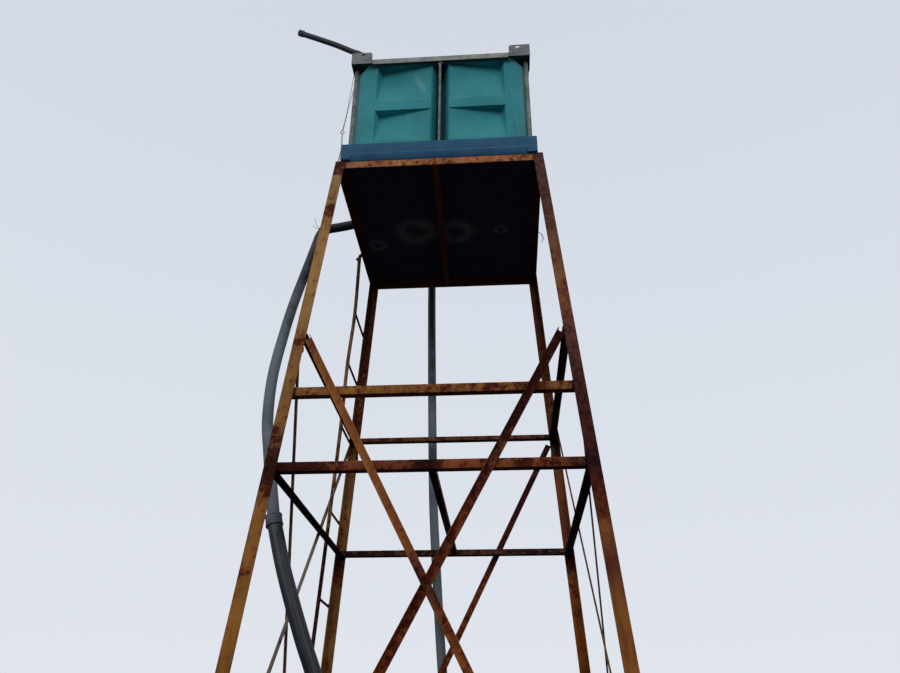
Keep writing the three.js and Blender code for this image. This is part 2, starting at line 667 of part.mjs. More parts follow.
const railOutX = bracketX - bracketThick - gap;
const railOutY = bracketY - bracketThick - gap;
for (const face of ['front', 'back', 'left', 'right']) {
  const whole = face === 'front' || face === 'back';
  const sideReach = railOutY - railSide - gap;
  const between = (whole ? bracketX : bracketY) - shelfLong - 1;
  const { rail, post } = whole ? cageSide(railOutY, railOutX, between)
    : cageSide(railOutX, sideReach, between);
  place(`cage_rail_${face}`, rail, galvanised, faces[face].turn);
  place(`cage_middle_post_${face}`, post, galvanised, faces[face].turn);
}

// Pipes
function supplyPipe() {
  const upper = bentBar(supplyRoute.slice(0, supplyJointAt + 1), supplyRadius, 12, 40);
  const lower = bentBar(supplyRoute.slice(supplyJointAt), supplyLowRadius, 12, 36);
  const start = [-tankHalfX - gap, sideOutletY, outletZ];
  const nut = cylinder(bossRadius, start, [start[0] - 34, sideOutletY, outletZ], 16);
  const before = new THREE.Vector3(...supplyRoute[supplyJointAt - 1]);
  const at = new THREE.Vector3(...supplyRoute[supplyJointAt]);
  const after = new THREE.Vector3(...supplyRoute[supplyJointAt + 1]);
  const along = after.sub(before).normalize();
  const from = at.clone().addScaledVector(along, -jointTall / 2);
  const to = at.clone().addScaledVector(along, jointTall / 2);
  const joint = cylinder(supplyLowRadius + 5, from.toArray(), to.toArray(), 16);
  return upper.add(lower).add(nut).add(joint);
}

function dropPipe() {
  const start = [rearOutletX, tankHalfY + gap, outletZ];
  const pipe = bentBar(dropRoute, dropRadius, 12, 60);
  const nut = cylinder(bossRadius, start, [rearOutletX, tankHalfY + 34, outletZ], 16);
  return pipe.add(nut);
}

function spout() {
  const foot = [inletX, inletY, tankTopZ + gap];
  const rise = [[inletX, inletY, tankTopZ + 28], [inletX - 50, inletY - 30, tankTopZ + 46],
    [inletX - 135, inletY - 80, tankTopZ + 62]];
  const pipe = bentBar([foot, ...rise, ...[...spoutOver].reverse(), spoutTip], spoutRadius, 10, 30);
  const collar = cylinder(spoutRadius + 8, foot, [inletX, inletY, tankTopZ + 16], 16);
  return pipe.add(collar);
}

place('supply_pipe', supplyPipe(), greyPipe);
place('drop_pipe', dropPipe(), greyPipe);
place('spout', spout(), blackPipe);

// Stay: a twisted wire from the cage to the stand, with a ring in it
function wireStay() {
  const upper = bentBar([...stayRoute.slice(0, 4), stayRing], wireRadius, 6, 14);
  const lower = bentBar([stayRing, ...stayRoute.slice(4)], wireRadius, 6, 10);
  const ring = new THREE.TorusGeometry(stayRingRadius, wireRadius, 6, 16);
  ring.rotateX(Math.PI / 2);
  ring.translate(stayRing[0], stayRing[1], stayRing[2]);
  return upper.add(lower).add(solid(ring));
}

place('wire_stay', wireStay(), galvanised);

export default tower;
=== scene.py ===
import math
import random
from functools import partial

import bmesh
import bpy
from mathutils import Matrix, Vector


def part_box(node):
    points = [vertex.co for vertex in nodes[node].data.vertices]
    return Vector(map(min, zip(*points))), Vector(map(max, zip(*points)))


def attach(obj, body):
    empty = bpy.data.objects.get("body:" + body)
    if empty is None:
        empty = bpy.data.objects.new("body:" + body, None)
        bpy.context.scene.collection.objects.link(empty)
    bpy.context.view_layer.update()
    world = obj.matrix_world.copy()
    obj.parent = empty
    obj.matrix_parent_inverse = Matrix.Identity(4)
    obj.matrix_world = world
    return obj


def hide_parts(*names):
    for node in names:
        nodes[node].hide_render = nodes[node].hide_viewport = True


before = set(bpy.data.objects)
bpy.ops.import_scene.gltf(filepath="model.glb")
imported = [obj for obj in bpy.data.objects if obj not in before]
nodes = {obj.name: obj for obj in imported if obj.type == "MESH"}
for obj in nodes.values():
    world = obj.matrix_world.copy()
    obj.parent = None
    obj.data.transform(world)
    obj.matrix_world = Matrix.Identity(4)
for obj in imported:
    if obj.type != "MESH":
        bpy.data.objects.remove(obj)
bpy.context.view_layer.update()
print("frame loaded")


# Camera, sky and floor

cameraLook = {
    "place": (0.2763, -3.4757, 1.55),
    "pitch": 29.396,     # degrees up from level
    "yaw": -4.171,
    "roll": 0.341,
    "lens": 30.572,      # mm
    "sensor": 36,        # mm
    "reach": 200,
}


def setCamera():
    pitch, yaw, roll = (math.radians(cameraLook[key]) for key in ("pitch", "yaw", "roll"))
    forward = Vector((math.sin(yaw) * math.cos(pitch), math.cos(yaw) * math.cos(pitch), math.sin(pitch)))
    level = Vector((math.cos(yaw), -math.sin(yaw), 0))
    rise = level.cross(forward)
    right = level * math.cos(roll) + rise * math.sin(roll)
    up = rise * math.cos(roll) - level * math.sin(roll)
    lens = bpy.data.cameras.new("camera")
    lens.sensor_fit = "HORIZONTAL"
    lens.sensor_width = cameraLook["sensor"]
    lens.lens = cameraLook["lens"]
    lens.clip_end = cameraLook["reach"]
    camera = bpy.data.objects.new("camera", lens)
    bpy.context.scene.collection.objects.link(camera)
    turn = Matrix((right, up, -forward)).transposed().to_4x4()
    camera.matrix_world = Matrix.Translation(cameraLook["place"]) @ turn
    bpy.context.scene.camera = camera


def srgb(shade):
    # a hex colour or a grey from 0 to 1, as linear light
    if isinstance(shade, (int, float)):
        return (shade, shade, shade, 1)
    parts = [int(shade[i:i + 2], 16) / 255 for i in (1, 3, 5)]
    return tuple(p / 12.92 if p <= 0.04045 else ((p + 0.055) / 1.055) ** 2.4 for p in parts) + (1,)


def outputOf(source):
    # a node stands for the first of its outputs that is in use
    if isinstance(source, bpy.types.NodeSocket):
        return source
    return next(socket for socket in source.outputs if socket.enabled)


def fill(node, settings):
    # a ramp's stops, a range's limits, the node's own values, and its sockets' values or the
    # nodes that feed them
    for name, value in settings.items():
        if name == "stops":
            elements = node.color_ramp.elements
            elements.remove(elements[1])
            elements[0].position = value[0][0]
            elements[0].color = srgb(value[0][1])
            for place, shade in value[1:]:
                elements.new(place).color = srgb(shade)
        elif name in ("From", "To"):
            for limit, amount in zip(("Min", "Max"), value):
                node.inputs[f"{name} {limit}"].default_value = amount
        elif isinstance(value, (bpy.types.Node, bpy.types.NodeSocket)):
            node.id_data.links.new(outputOf(value), node.inputs[name])
        elif isinstance(value, str) and value.startswith("#"):
            node.inputs[name].default_value = srgb(value)
        elif isinstance(name, str) and hasattr(node, name):
            setattr(node, name, value)
        else:
            node.inputs[name].default_value = value


def addNode(tree, kind, settings):
    node = tree.nodes.new(f"ShaderNode{kind}")
    if kind == "Mix":
        node.data_type = "RGBA"      # every mix here is of colours
    fill(node, settings)
    return node


skyLook = {
    "seen": [(0.5, "#E2E7EE"), (0.9, "#D3D9E4")],     # by the camera, from the horizon up
    # from the ground to the zenith
    "light": [(0.0, "#1E2234"), (0.42, "#2C303C"), (0.52, 0.3), (0.75, 0.55), (1.0, 0.68)],
    "strength": 0.8,
}


def setSky():
    world = bpy.data.worlds.new("overcastSky")
    world.use_nodes = True
    bpy.context.scene.world = world
    tree = world.node_tree
    tree.nodes.clear()
    add = partial(addNode, tree)
    coords = add("TexCoord", {})
    height = add("SeparateXYZ", {0: coords.outputs["Generated"]})
    share = add("MapRange", {"From": (-1, 1), "Value": height.outputs["Z"]})
    light = add("ValToRGB", {"stops": skyLook["light"], "Fac": share})
    seen = add("ValToRGB", {"stops": skyLook["seen"], "Fac": share})
    soft = add("Background", {"Strength": skyLook["strength"], "Color": light})
    plain = add("Background", {"Color": seen})
    path = add("LightPath", {})
    mix = add("MixShader", {0: path.outputs["Is Camera Ray"], 1: soft, 2: plain})
    add("OutputWorld", {"Surface": mix})


lampLook = [
    # place, aim, size in metres, watts
    ((-4.0, -7.0, 6.0), (0, 0, 3.6), 5.0, 120),
    ((4.5, -6.5, 6.0), (0, 0, 3.4), 5.0, 110),
]


def setLamps():
    for i, (place, aim, size, watts) in enumerate(lampLook):
        data = bpy.data.lights.new(f"softLamp{i}", "AREA")
        data.size = size
        data.energy = watts
        lamp = bpy.data.objects.new(f"softLamp{i}", data)
        bpy.context.scene.collection.objects.link(lamp)
        lamp.location = place
        lamp.rotation_euler = (Vector(aim) - Vector(place)).to_track_quat("-Z", "Y").to_euler()


def blankMaterial(name):
    material = bpy.data.materials.new(name)
    material.use_nodes = True
    return material, material.node_tree.nodes["Principled BSDF"]


floorLook = {"half": 30, "shade": "#D9DBDC", "roughness": 0.9}


def setFloor():
    bm = bmesh.new()
    bmesh.ops.create_grid(bm, x_segments=1, y_segments=1, size=floorLook["half"])
    mesh = bpy.data.meshes.new("floor")
    bm.to_mesh(mesh)
    bm.free()
    material, shader = blankMaterial("paleFloor")
    fill(shader, {"Base Color": floorLook["shade"], "Roughness": floorLook["roughness"]})
    mesh.materials.append(material)
    floor = bpy.data.objects.new("floor", mesh)
    bpy.context.scene.collection.objects.link(floor)
    floor.visible_diffuse = False       # the ground under the tower throws almost no light up
    floor.visible_glossy = False


bpy.context.scene.view_settings.view_transform = "Standard"
setCamera()
setSky()
setLamps()
setFloor()
print("camera, sky and floor set")


# Materials. Sizes are in metres, and a node's size is one over the scale of its pattern.

sheen = {"Specular IOR Level": 0.2}      # of old paint, enamel and chalked plastic


def newMaterial(name):
    material, shader = blankMaterial(name)
    add = partial(addNode, material.node_tree)

    def finish(look, colour, height, wear=None, **others):
        # relief that follows height, and a roughness that follows wear where look gives two
        rough = add("MapRange", {"To": look["roughness"], "Value": wear}) if wear else look["roughness"]
        bump = add("Bump", {"Strength": look["bump"], "Distance": look["depth"], "Height": height})
        fill(shader, {"Base Color": colour, "Roughness": rough, "Normal": bump, **others})
        return material

    return add, finish, add("TexCoord", {}).outputs["Object"]


def shares(stops, low, high):
    # stops in metres, as shares of the way from low to high
    return [((at - low) / (high - low), value) for at, value in stops]


# Hot-rolled angle, brushed with ochre gloss paint and weathered for years: the eye sees chalky
# ochre with run-down streaks, and matt, scabby rust that spreads from the welds.
steelGrain = {
    "cloud": 0.28, "grit": 0.005, "streak": 0.018, "scab": 0.02,
    "ragged": 0.22,              # how much the grit frays the edges of the paint
    "bare": (1.06, 1.11),        # the levels of wear between which the paint gives way
    "stained": (0.92, 1.1), "stainMost": 0.85,
    "streaked": (0.48, 0.72), "streakMost": 0.55,
    "clouded": (0.36, 0.64), "scabbed": (0.38, 0.66),      # from the dark shade to the light one
    "roughness": (0.55, 0.92),   # of paint and of rust
    "bump": 0.55, "scabBump": 0.25, "depth": 0.0012,
}
ochre = {
    "paint": ("#B0782C", "#8E5E20"), "rust": ("#301410", "#7C3A1C"), "streak": "#8A5630", "stain": "#7E421E",
    "patch": 0.045,
}


def weatheredSteel(name, look):
    add, finish, coords = newMaterial(name)
    grain = steelGrain
    shift = look["shift"]
    moved = add("Mapping", {"Location": (shift, shift * 1.7, shift * 0.6), "Vector": coords})
    clouds = add("TexNoise", {"Scale": 1 / grain["cloud"], "Detail": 3, "Vector": moved})
    patches = add("TexNoise", {"Scale": 1 / look["patch"], "Detail": 7, "Roughness": 0.66, "Vector": moved})
    grit = add("TexNoise", {"Scale": 1 / grain["grit"], "Detail": 3, "Vector": moved})
    tall = add("Mapping", {"Scale": (1, 1, 0.1), "Vector": moved})
    streaks = add("TexNoise", {"Scale": 1 / grain["streak"], "Detail": 4, "Vector": tall})

    # how much of the paint has gone, along one axis
    axis, low, high, stops = look["rustAlong"]
    parts = add("SeparateXYZ", {0: coords})
    share = add("MapRange", {"From": (low, high), "Value": parts.outputs[axis]})
    wear = add("ValToRGB", {"stops": shares(stops, low, high), "Fac": share})
    mixed = add("Math", {"operation": "MULTIPLY_ADD", 0: grit, 1: grain["ragged"], 2: patches})
    level = add("Math", {"operation": "ADD", 0: mixed, 1: wear})
    bare = add("MapRange", {"interpolation_type": "SMOOTHSTEP", "From": grain["bare"], "Value": level})
    stain = add("MapRange", {
        "interpolation_type": "SMOOTHSTEP", "From": grain["stained"], "To Max": grain["stainMost"],
        "Value": level})

    paint = add("ValToRGB", {"stops": list(zip(grain["clouded"], look["paint"][::-1])), "Fac": clouds})
    run = add("MapRange", {"From": grain["streaked"], "To Max": grain["streakMost"], "Value": streaks})
    streaked = add("Mix", {"blend_type": "MULTIPLY", 0: run, 6: paint, 7: look["streak"]})
    stained = add("Mix", {0: stain, 6: streaked, 7: look["stain"]})
    scab = add("TexNoise", {"Scale": 1 / grain["scab"], "Detail": 6, "Roughness": 0.7, "Vector": moved})
    rust = add("ValToRGB", {"stops": list(zip(grain["scabbed"], look["rust"])), "Fac": scab})
    colour = add("Mix", {0: bare, 6: stained, 7: rust})
    washes = look.get("wash", [(low, "#FFFFFF"), (high, "#FFFFFF")])
    wash = add("ValToRGB", {"stops": shares(washes, low, high), "Fac": share})
    washed = add("Mix", {"blend_type": "MULTIPLY", 0: 1.0, 6: colour, 7: wash})
    scabs = add("Math", {"operation": "MULTIPLY", 0: bare, 1: scab})
    height = add("Math", {"operation": "MULTIPLY_ADD", 0: grit, 1: grain["scabBump"], 2: scabs})
    return finish(grain, washed, height, bare, **sheen)


# For each part of the stand: its paint and rust, light and dark, how much of the paint is gone
# along one axis, and in "wash" a tint along that axis multiplied over both, warmer in places and darker and
# bluer in others
steelLooks = {
    "leftFrontLeg": {
        "paint": ("#BE9156", "#987244"), "shift": 1.3,
        "wash": [(0, "#F0CC80"), (2.4, "#F0CE84"), (2.55, "#A0A4AC"), (2.75, "#DECCA0"), (3.1, "#DECCA8"),
                 (3.3, "#FFFBE4"), (3.7, "#FFFBF4"), (4.2, "#E4EAFA")],
        "rustAlong": ("Z", 0, 4.3, [
            (0, 0.5), (0.25, 0.34), (1.6, 0.25), (2.05, 0.27), (2.15, 0.44), (2.2, 0.28), (2.38, 0.3),
            (2.45, 0.5), (2.52, 0.68), (2.62, 0.62), (2.7, 0.38), (2.95, 0.3), (3.08, 0.3), (3.14, 0.5),
            (3.2, 0.3), (3.8, 0.3), (3.88, 0.56), (3.96, 0.34), (4.1, 0.33), (4.17, 0.55), (4.24, 0.6)])},
    "rightFrontLeg": {
        "paint": ("#AC7C4C", "#906440"), "rust": ("#50282A", "#9A5C46"), "shift": 4.1, "patch": 0.07,
        "wash": [(0, "#E8CC88"), (2.05, "#EACA80"), (2.16, "#B87870"), (2.3, "#ECC884"), (2.47, "#B07A70"),
                 (2.55, "#505068"), (2.64, "#A88890"), (2.9, "#9C8C98"), (3.1, "#C4CAD8"), (3.3, "#FFF8E4"),
                 (3.55, "#D8C0B8"), (3.8, "#C8CCE0"), (4.2, "#B4C8E4")],
        "rustAlong": ("Z", 0, 4.3, [
            (0, 0.5), (1.5, 0.28), (2.1, 0.28), (2.16, 0.4), (2.25, 0.31), (2.35, 0.5), (2.5, 0.72),
            (2.65, 0.72), (2.8, 0.62), (3.0, 0.58), (3.15, 0.6), (3.3, 0.52), (3.45, 0.36), (3.7, 0.42),
            (3.9, 0.62), (4.0, 0.62), (4.1, 0.5), (4.24, 0.66)])},
    "leftBackLeg": {
        "paint": ("#A8783A", "#7E562A"), "shift": 7.7,
        "rustAlong": ("Z", 0, 4.3, [
            (0, 0.5), (1.5, 0.34), (2.3, 0.34), (2.5, 0.55), (2.62, 0.42), (2.8, 0.3), (3.1, 0.4), (3.2, 0.6),
            (3.4, 0.5), (3.7, 0.6), (4.24, 0.7)])},
    "rightBackLeg": {
        "paint": ("#B47E40", "#8A5C32"), "rust": ("#462218", "#8A4E30"), "shift": 6.1,
        "wash": [(0, "#F0C878"), (2.4, "#F0C878"), (2.5, "#A88480"), (2.62, "#E8B888"), (3.02, "#E4B080"),
                 (3.15, "#607088"), (3.28, "#F0E8DC"), (4.2, "#FFFFF0")],
        "rustAlong": ("Z", 0, 4.3, [
            (0, 0.5), (1.5, 0.34), (2.3, 0.34), (2.5, 0.55), (2.62, 0.4), (2.8, 0.34), (3.05, 0.36),
            (3.2, 0.56), (3.4, 0.5), (3.7, 0.6), (4.24, 0.7)])},
    "frontBar": {
        "shift": 2.2, "patch": 0.03,
        "rustAlong": ("X", -0.65, 0.65, [
            (-0.62, 0.56), (-0.56, 0.4), (-0.1, 0.38), (0.05, 0.5), (0.3, 0.46), (0.42, 0.56), (0.5, 0.42),
            (0.62, 0.46)])},
    "lowerFrontBar": {
        "paint": ("#A2602A", "#7C4424"), "rust": ("#301214", "#6E2E1A"), "shift": 9.4, "patch": 0.035,
        "wash": [(-0.7, "#A0909C"), (-0.5, "#C8B4B4"), (-0.3, "#F4DCCC"), (-0.07, "#F0D8C4"),
                 (-0.02, "#787080"), (0.02, "#B8A8A4"), (0.06, "#FFF0E4"), (0.4, "#F0DCD0"),
                 (0.7, "#B8A8A8")],
        "rustAlong": ("X", -0.7, 0.7, [
            (-0.66, 0.7), (-0.55, 0.66), (-0.35, 0.46), (-0.08, 0.38), (-0.03, 0.62), (0.01, 0.6),
            (0.06, 0.42), (0.3, 0.44), (0.45, 0.5), (0.64, 0.52)])},
    "rings": {
        "paint": ("#7A4A2C", "#4E3020"), "rust": ("#241014", "#502A1C"), "shift": 5.2,
        "rustAlong": ("X", -0.8, 0.8, [(-0.7, 0.6), (-0.3, 0.46), (0.3, 0.46), (0.7, 0.6)])},
    "darkRings": {
        "paint": ("#2E2226", "#241A20"), "rust": ("#181014", "#38201C"), "shift": 5.9,
        "rustAlong": ("X", -0.8, 0.8, [(-0.7, 0.6), (-0.3, 0.5), (0.3, 0.5), (0.7, 0.6)])},
    "welds": {
        "paint": ("#5A3826", "#3E2620"), "rust": ("#1E1012", "#4E2A1E"), "shift": 0.7,
        "rustAlong": ("Z", 0, 4.4, [(0, 0.6), (4.3, 0.6)])},
    "ochreBraces": {
        "paint": ("#CC9044", "#A86E34"), "rust": ("#4A2016", "#8E4A24"), "shift": 3.6, "patch": 0.03,
        "wash": [(0.5, "#F0C890"), (1.9, "#ECC090"), (2.12, "#B89088"), (2.3, "#F4CC9C"), (2.8, "#EED4A8"),
                 (3.3, "#D8BC98")],
        "rustAlong": ("Z", 0.5, 3.3, [
            (0.6, 0.52), (1.2, 0.4), (2.0, 0.42), (2.12, 0.5), (2.25, 0.34), (3.0, 0.28), (3.15, 0.4)])},
    "paleBraces": {
        "paint": ("#C4BAA8", "#A4988A"), "rust": ("#4A2C20", "#8A5C40"), "shift": 4.9, "stain": "#A08468",
        "rustAlong": ("Z", 0.5, 3.3, [
            (0.6, 0.5), (1.2, 0.36), (1.9, 0.4), (2.1, 0.32), (2.3, 0.3), (2.55, 0.46), (3.15, 0.56)])},
    "beigeBraces": {
        "paint": ("#C09A68", "#9C7850"), "rust": ("#44221A", "#8A4C2C"), "shift": 8.3, "patch": 0.035,
        "rustAlong": ("Z", 0.4, 3.3, [
            (0.5, 0.5), (1.2, 0.4), (1.9, 0.42), (2.2, 0.48), (2.6, 0.44), (2.9, 0.52), (3.2, 0.56)])},
    "rustedBraces": {
        "paint": ("#B07438", "#885028"), "rust": ("#3C1A16", "#7C3E24"), "shift": 6.3, "patch": 0.03,
        "wash": [(0.5, "#ECC490"), (2.0, "#F0C49C"), (2.35, "#F4CCA4"), (2.6, "#C8A098"), (3.0, "#A88488")],
        "rustAlong": ("Z", 0.5, 3.3, [
            (0.6, 0.5), (1.2, 0.46), (2.0, 0.48), (2.35, 0.42), (2.6, 0.5), (2.95, 0.56), (3.15, 0.55)])},
    "darkBraces": {
        "paint": ("#6A4230", "#482A22"), "rust": ("#2A1414", "#5A2E20"), "shift": 3.1,
        "rustAlong": ("Z", 0.2, 3.3, [(0.3, 0.5), (2.0, 0.5), (3.2, 0.55)])},
    "platformFront": {
        "paint": ("#D08A54", "#B8744C"), "rust": ("#4A2420", "#8A4830"), "shift": 8.8, "patch": 0.03,
        "stain": "#9A5A34",
        "rustAlong": ("X", -0.55, 0.55, [
            (-0.52, 0.56), (-0.45, 0.36), (-0.3, 0.42), (0, 0.42), (0.05, 0.5), (0.1, 0.38), (0.3, 0.42),
            (0.5, 0.46)])},
    "platformRest": {
        "paint": ("#96683C", "#6A4430"), "rust": ("#3E2220", "#8A4C30"), "shift": 2.9,
        "rustAlong": ("Z", 4.1, 4.3, [(4.1, 0.55), (4.3, 0.55)])},
    "ladderSteel": {
        "paint": ("#A88E66", "#86704C"), "rust": ("#3A1C18", "#6E3A22"), "shift": 1.9,
        "wash": [(0, "#B49490"), (2.5, "#B49490"), (2.65, "#F0E4D4"), (3.6, "#FFF4E4"), (3.8, "#D8CCBC"),
                 (4.3, "#C8BCAC")],
        "rustAlong": ("Z", 0, 4.3, [
            (0, 0.5), (2.2, 0.54), (2.6, 0.56), (2.7, 0.4), (3.6, 0.36), (4.2, 0.4)])},
    "deckBeam": {
        "paint": ("#C07048", "#8E4E38"), "rust": ("#5A2A24", "#A85C42"), "shift": 4.4,
        "rustAlong": ("X", -0.6, 0.6, [(-0.6, 0.56), (0.6, 0.56)])},
}


# Blow-moulded polyethylene, sun-chalked: an even teal with a soft sheen, faint pale runs down
# the faces and dust that dulls it in streaks. Its corners are bleached, a painted highlight runs
# along the sills of its upper recesses, and painted shade darkens its slots.
tankLook = {
    # the last of these colours is the painted shade laid into the slots
    "teal": "#40A0AA", "deep": "#36929A", "chalk": "#90B8BA", "dirt": "#10282C",
    "cloud": 0.22, "run": 0.03, "skin": 0.006, "bump": 0.12, "depth": 0.0008, "roughness": (0.5, 0.7),
    "scuff": {"at": (-0.111, -0.52, 4.82), "lean": 0.385, "half": (0.03, 0.05, 0.11)},
    # the sill band is where a painted highlight runs along the upper recesses' lower edges
    "sill": {"z": 4.690, "zHalf": 0.0022, "x": 0.2, "xHalf": 0.152},
    # how strong each mark is at most
    "most": {"run": 0.4, "scuff": 0.75, "sill": 0.6, "corner": 0.3, "dirt": 0.85},
    "bleached": (0.425, 0.462),      # from the middle towards the corners
    "slot": (0.034, 0.019),          # from the slot's edge to its bottom, from the middle of a face
    "slotTop": 4.955,
}


def chalkedPolyethylene():
    look, most = tankLook, tankLook["most"]
    add, finish, coords = newMaterial("chalkedPolyethylene")
    clouds = add("TexNoise", {"Scale": 1 / look["cloud"], "Detail": 3, "Vector": coords})
    base = add("ValToRGB", {"stops": [(0.38, look["deep"]), (0.62, look["teal"])], "Fac": clouds})
    tall = add("Mapping", {"Scale": (1, 1, 0.14), "Vector": coords})
    runs = add("TexNoise", {"Scale": 1 / look["run"], "Detail": 5, "Vector": tall})
    chalk = add("MapRange", {
        "interpolation_type": "SMOOTHSTEP", "From": (0.6, 0.84), "To Max": most["run"], "Value": runs})

    # a rubbed pale patch that slants down the left front panel
    scuff = look["scuff"]
    fromScuff = add("VectorMath", {"operation": "SUBTRACT", 0: coords, 1: scuff["at"]})
    parts = add("SeparateXYZ", {0: fromScuff})
    across = add("Math", {
        "operation": "MULTIPLY_ADD", 0: parts.outputs["Z"], 1: scuff["lean"], 2: parts.outputs["X"]})
    shape = add("CombineXYZ", {0: across, 1: parts.outputs["Y"], 2: parts.outputs["Z"]})
    scaled = add("Mapping", {"Scale": [1 / half for half in scuff["half"]], "Vector": shape})
    away = add("VectorMath", {"operation": "LENGTH", 0: scaled})
    rubbed = add("MapRange", {
        "interpolation_type": "SMOOTHSTEP", "From": (1.0, 0.2), "To Max": most["scuff"], "Value": away})
    scuffed = add("Math", {"operation": "MULTIPLY", 0: rubbed, 1: clouds})
    pale = add("Math", {"operation": "MAXIMUM", 0: chalk, 1: scuffed})

    # a painted highlight runs along the sills of the upper recesses, front and back, where their lower edge
    # catches the light
    sill = look["sill"]
    spot = add("VectorMath", {"operation": "ABSOLUTE", 0: coords})
    place = add("SeparateXYZ", {0: spot})
    level = add("Math", {"operation": "COMPARE", 0: place.outputs["Z"], 1: sill["z"], 2: sill["zHalf"]})
    inside = add("Math", {"operation": "COMPARE", 0: place.outputs["X"], 1: sill["x"], 2: sill["xHalf"]})
    onSill = add("Math", {"operation": "MULTIPLY", 0: level, 1: inside})
    sillHighlight = add("Math", {"operation": "MULTIPLY", 0: onSill, 1: most["sill"]})
    pale = add("Math", {"operation": "MAXIMUM", 0: pale, 1: sillHighlight})
    corner = add("MapRange", {
        "From": look["bleached"], "To Max": most["corner"], "Value": place.outputs["X"]})
    pale = add("Math", {"operation": "MAXIMUM", 0: pale, 1: corner})
    # the chalk, the scuff, the bleached corners and the painted sill highlight, all laid on in the chalk
    # colour
    chalkedAndHighlit = add("Mix", {0: pale, 6: base, 7: look["chalk"]})

    # and painted shade darkens the slots behind the middle posts, below their top
    nearest = add("Math", {"operation": "MINIMUM", 0: place.outputs["X"], 1: place.outputs["Y"]})
    slot = add("MapRange", {"From": look["slot"], "To Max": most["dirt"], "Value": nearest})
    under = add("Math", {"operation": "LESS_THAN", 0: place.outputs["Z"], 1: look["slotTop"]})
    dirt = add("Math", {"operation": "MULTIPLY", 0: slot, 1: under})
    colour = add("Mix", {0: dirt, 6: chalkedAndHighlit, 7: look["dirt"]})
    skin = add("TexNoise", {"Scale": 1 / look["skin"], "Detail": 3, "Vector": coords})
    return finish(look, colour, skin, pale, **sheen)


# Pressed sheet steel in navy enamel: flat and slightly faded, with pale scratches along the fold
# and a scuffed patch by the left corner.
trayLook = {
    "navy": "#34698E", "deep": "#2A5C80", "scratch": "#8CA4B4", "roughness": 0.55,
    "cloud": 0.12, "scratchWide": 0.004, "bump": 0.25, "depth": 0.002,
    "fold": (4.235, 4.34),
    "foldWear": [(0.0, 0.1), (0.28, 0.12), (0.34, 0.62), (0.38, 0.5), (0.46, 0.06), (0.9, 0.04), (1.0, 0.35)],
    "scuffAt": (-0.37, -0.582, 4.30), "scuff": 0.05,
}


def navyEnamel():
    look = trayLook
    add, finish, coords = newMaterial("navyEnamel")
    clouds = add("TexNoise", {"Scale": 1 / look["cloud"], "Detail": 5, "Vector": coords})
    base = add("ValToRGB", {"stops": [(0.36, look["deep"]), (0.66, look["navy"])], "Fac": clouds})
    parts = add("SeparateXYZ", {0: coords})
    fold = add("MapRange", {"From": look["fold"], "Value": parts.outputs["Z"]})
    nearFold = add("ValToRGB", {"stops": look["foldWear"], "Fac": fold})
    longways = add("Mapping", {"Scale": (0.16, 0.16, 1), "Vector": coords})
    scratches = add("TexNoise", {
        "Scale": 1 / look["scratchWide"], "Detail": 6, "Roughness": 0.7, "Vector": longways})
    away = add("VectorMath", {"operation": "DISTANCE", 0: coords, 1: look["scuffAt"]})
    scuff = add("MapRange", {"From": (look["scuff"], 0.0), "To Max": 0.35, "Value": away})
    edge = add("Math", {"operation": "MAXIMUM", 0: nearFold, 1: scuff})
    level = add("Math", {"operation": "MULTIPLY", 0: edge, 1: scratches})
    worn = add("MapRange", {"From": (0.24, 0.42), "To Max": 0.7, "Value": level})
    colour = add("Mix", {0: worn, 6: base, 7: look["scratch"]})
    return finish(look, colour, clouds, **sheen)


# Hot-dip galvanised tube and plate, dulled outdoors: mid-grey zinc with a faint spangle, darker
# in patches, with painted shade that turns its downward faces nearly black, and only half metallic
# to the eye because of its white oxide.
zincLook = {
    # underside is the near-black colour of the painted shade on faces that point down
    "spangle": 0.012, "cloud": 0.05, "underside": "#1A1C20", "metallic": 0.35, "roughness": (0.45, 0.7),
    "bump": 0.15, "depth": 0.0006,
}
zincShades = {
    "railZinc": ("#A9AFA9", "#858B87"),
    "plateZinc": ("#8A8F90", "#6A6E70"),
    "postZinc": ("#8E9698", "#60625E"),
    "wireZinc": ("#7A7E84", "#55585E"),
}


def dulledZinc(name, light, dark):
    look = zincLook
    add, finish, coords = newMaterial(name)
    spangle = add("TexVoronoi", {"Scale": 1 / look["spangle"], "Vector": coords})
    clouds = add("TexNoise", {"Scale": 1 / look["cloud"], "Detail": 5, "Vector": coords})
    mixed = add("Math", {"operation": "MULTIPLY_ADD", 0: spangle.outputs["Color"], 1: 0.22, 2: clouds})
    base = add("ValToRGB", {"stops": [(0.42, dark), (0.74, light)], "Fac": mixed})
    # painted shade: faces that point down are mixed towards the near-black underside colour
    surface = add("NewGeometry", {})
    facing = add("SeparateXYZ", {0: surface.outputs["Normal"]})
    paintedUnderShade = add("MapRange", {"From": (-0.5, -0.95), "To Max": 0.9, "Value": facing.outputs["Z"]})
    colour = add("Mix", {0: paintedUnderShade, 6: base, 7: look["underside"]})
    return finish(look, colour, mixed, clouds, Metallic=look["metallic"])


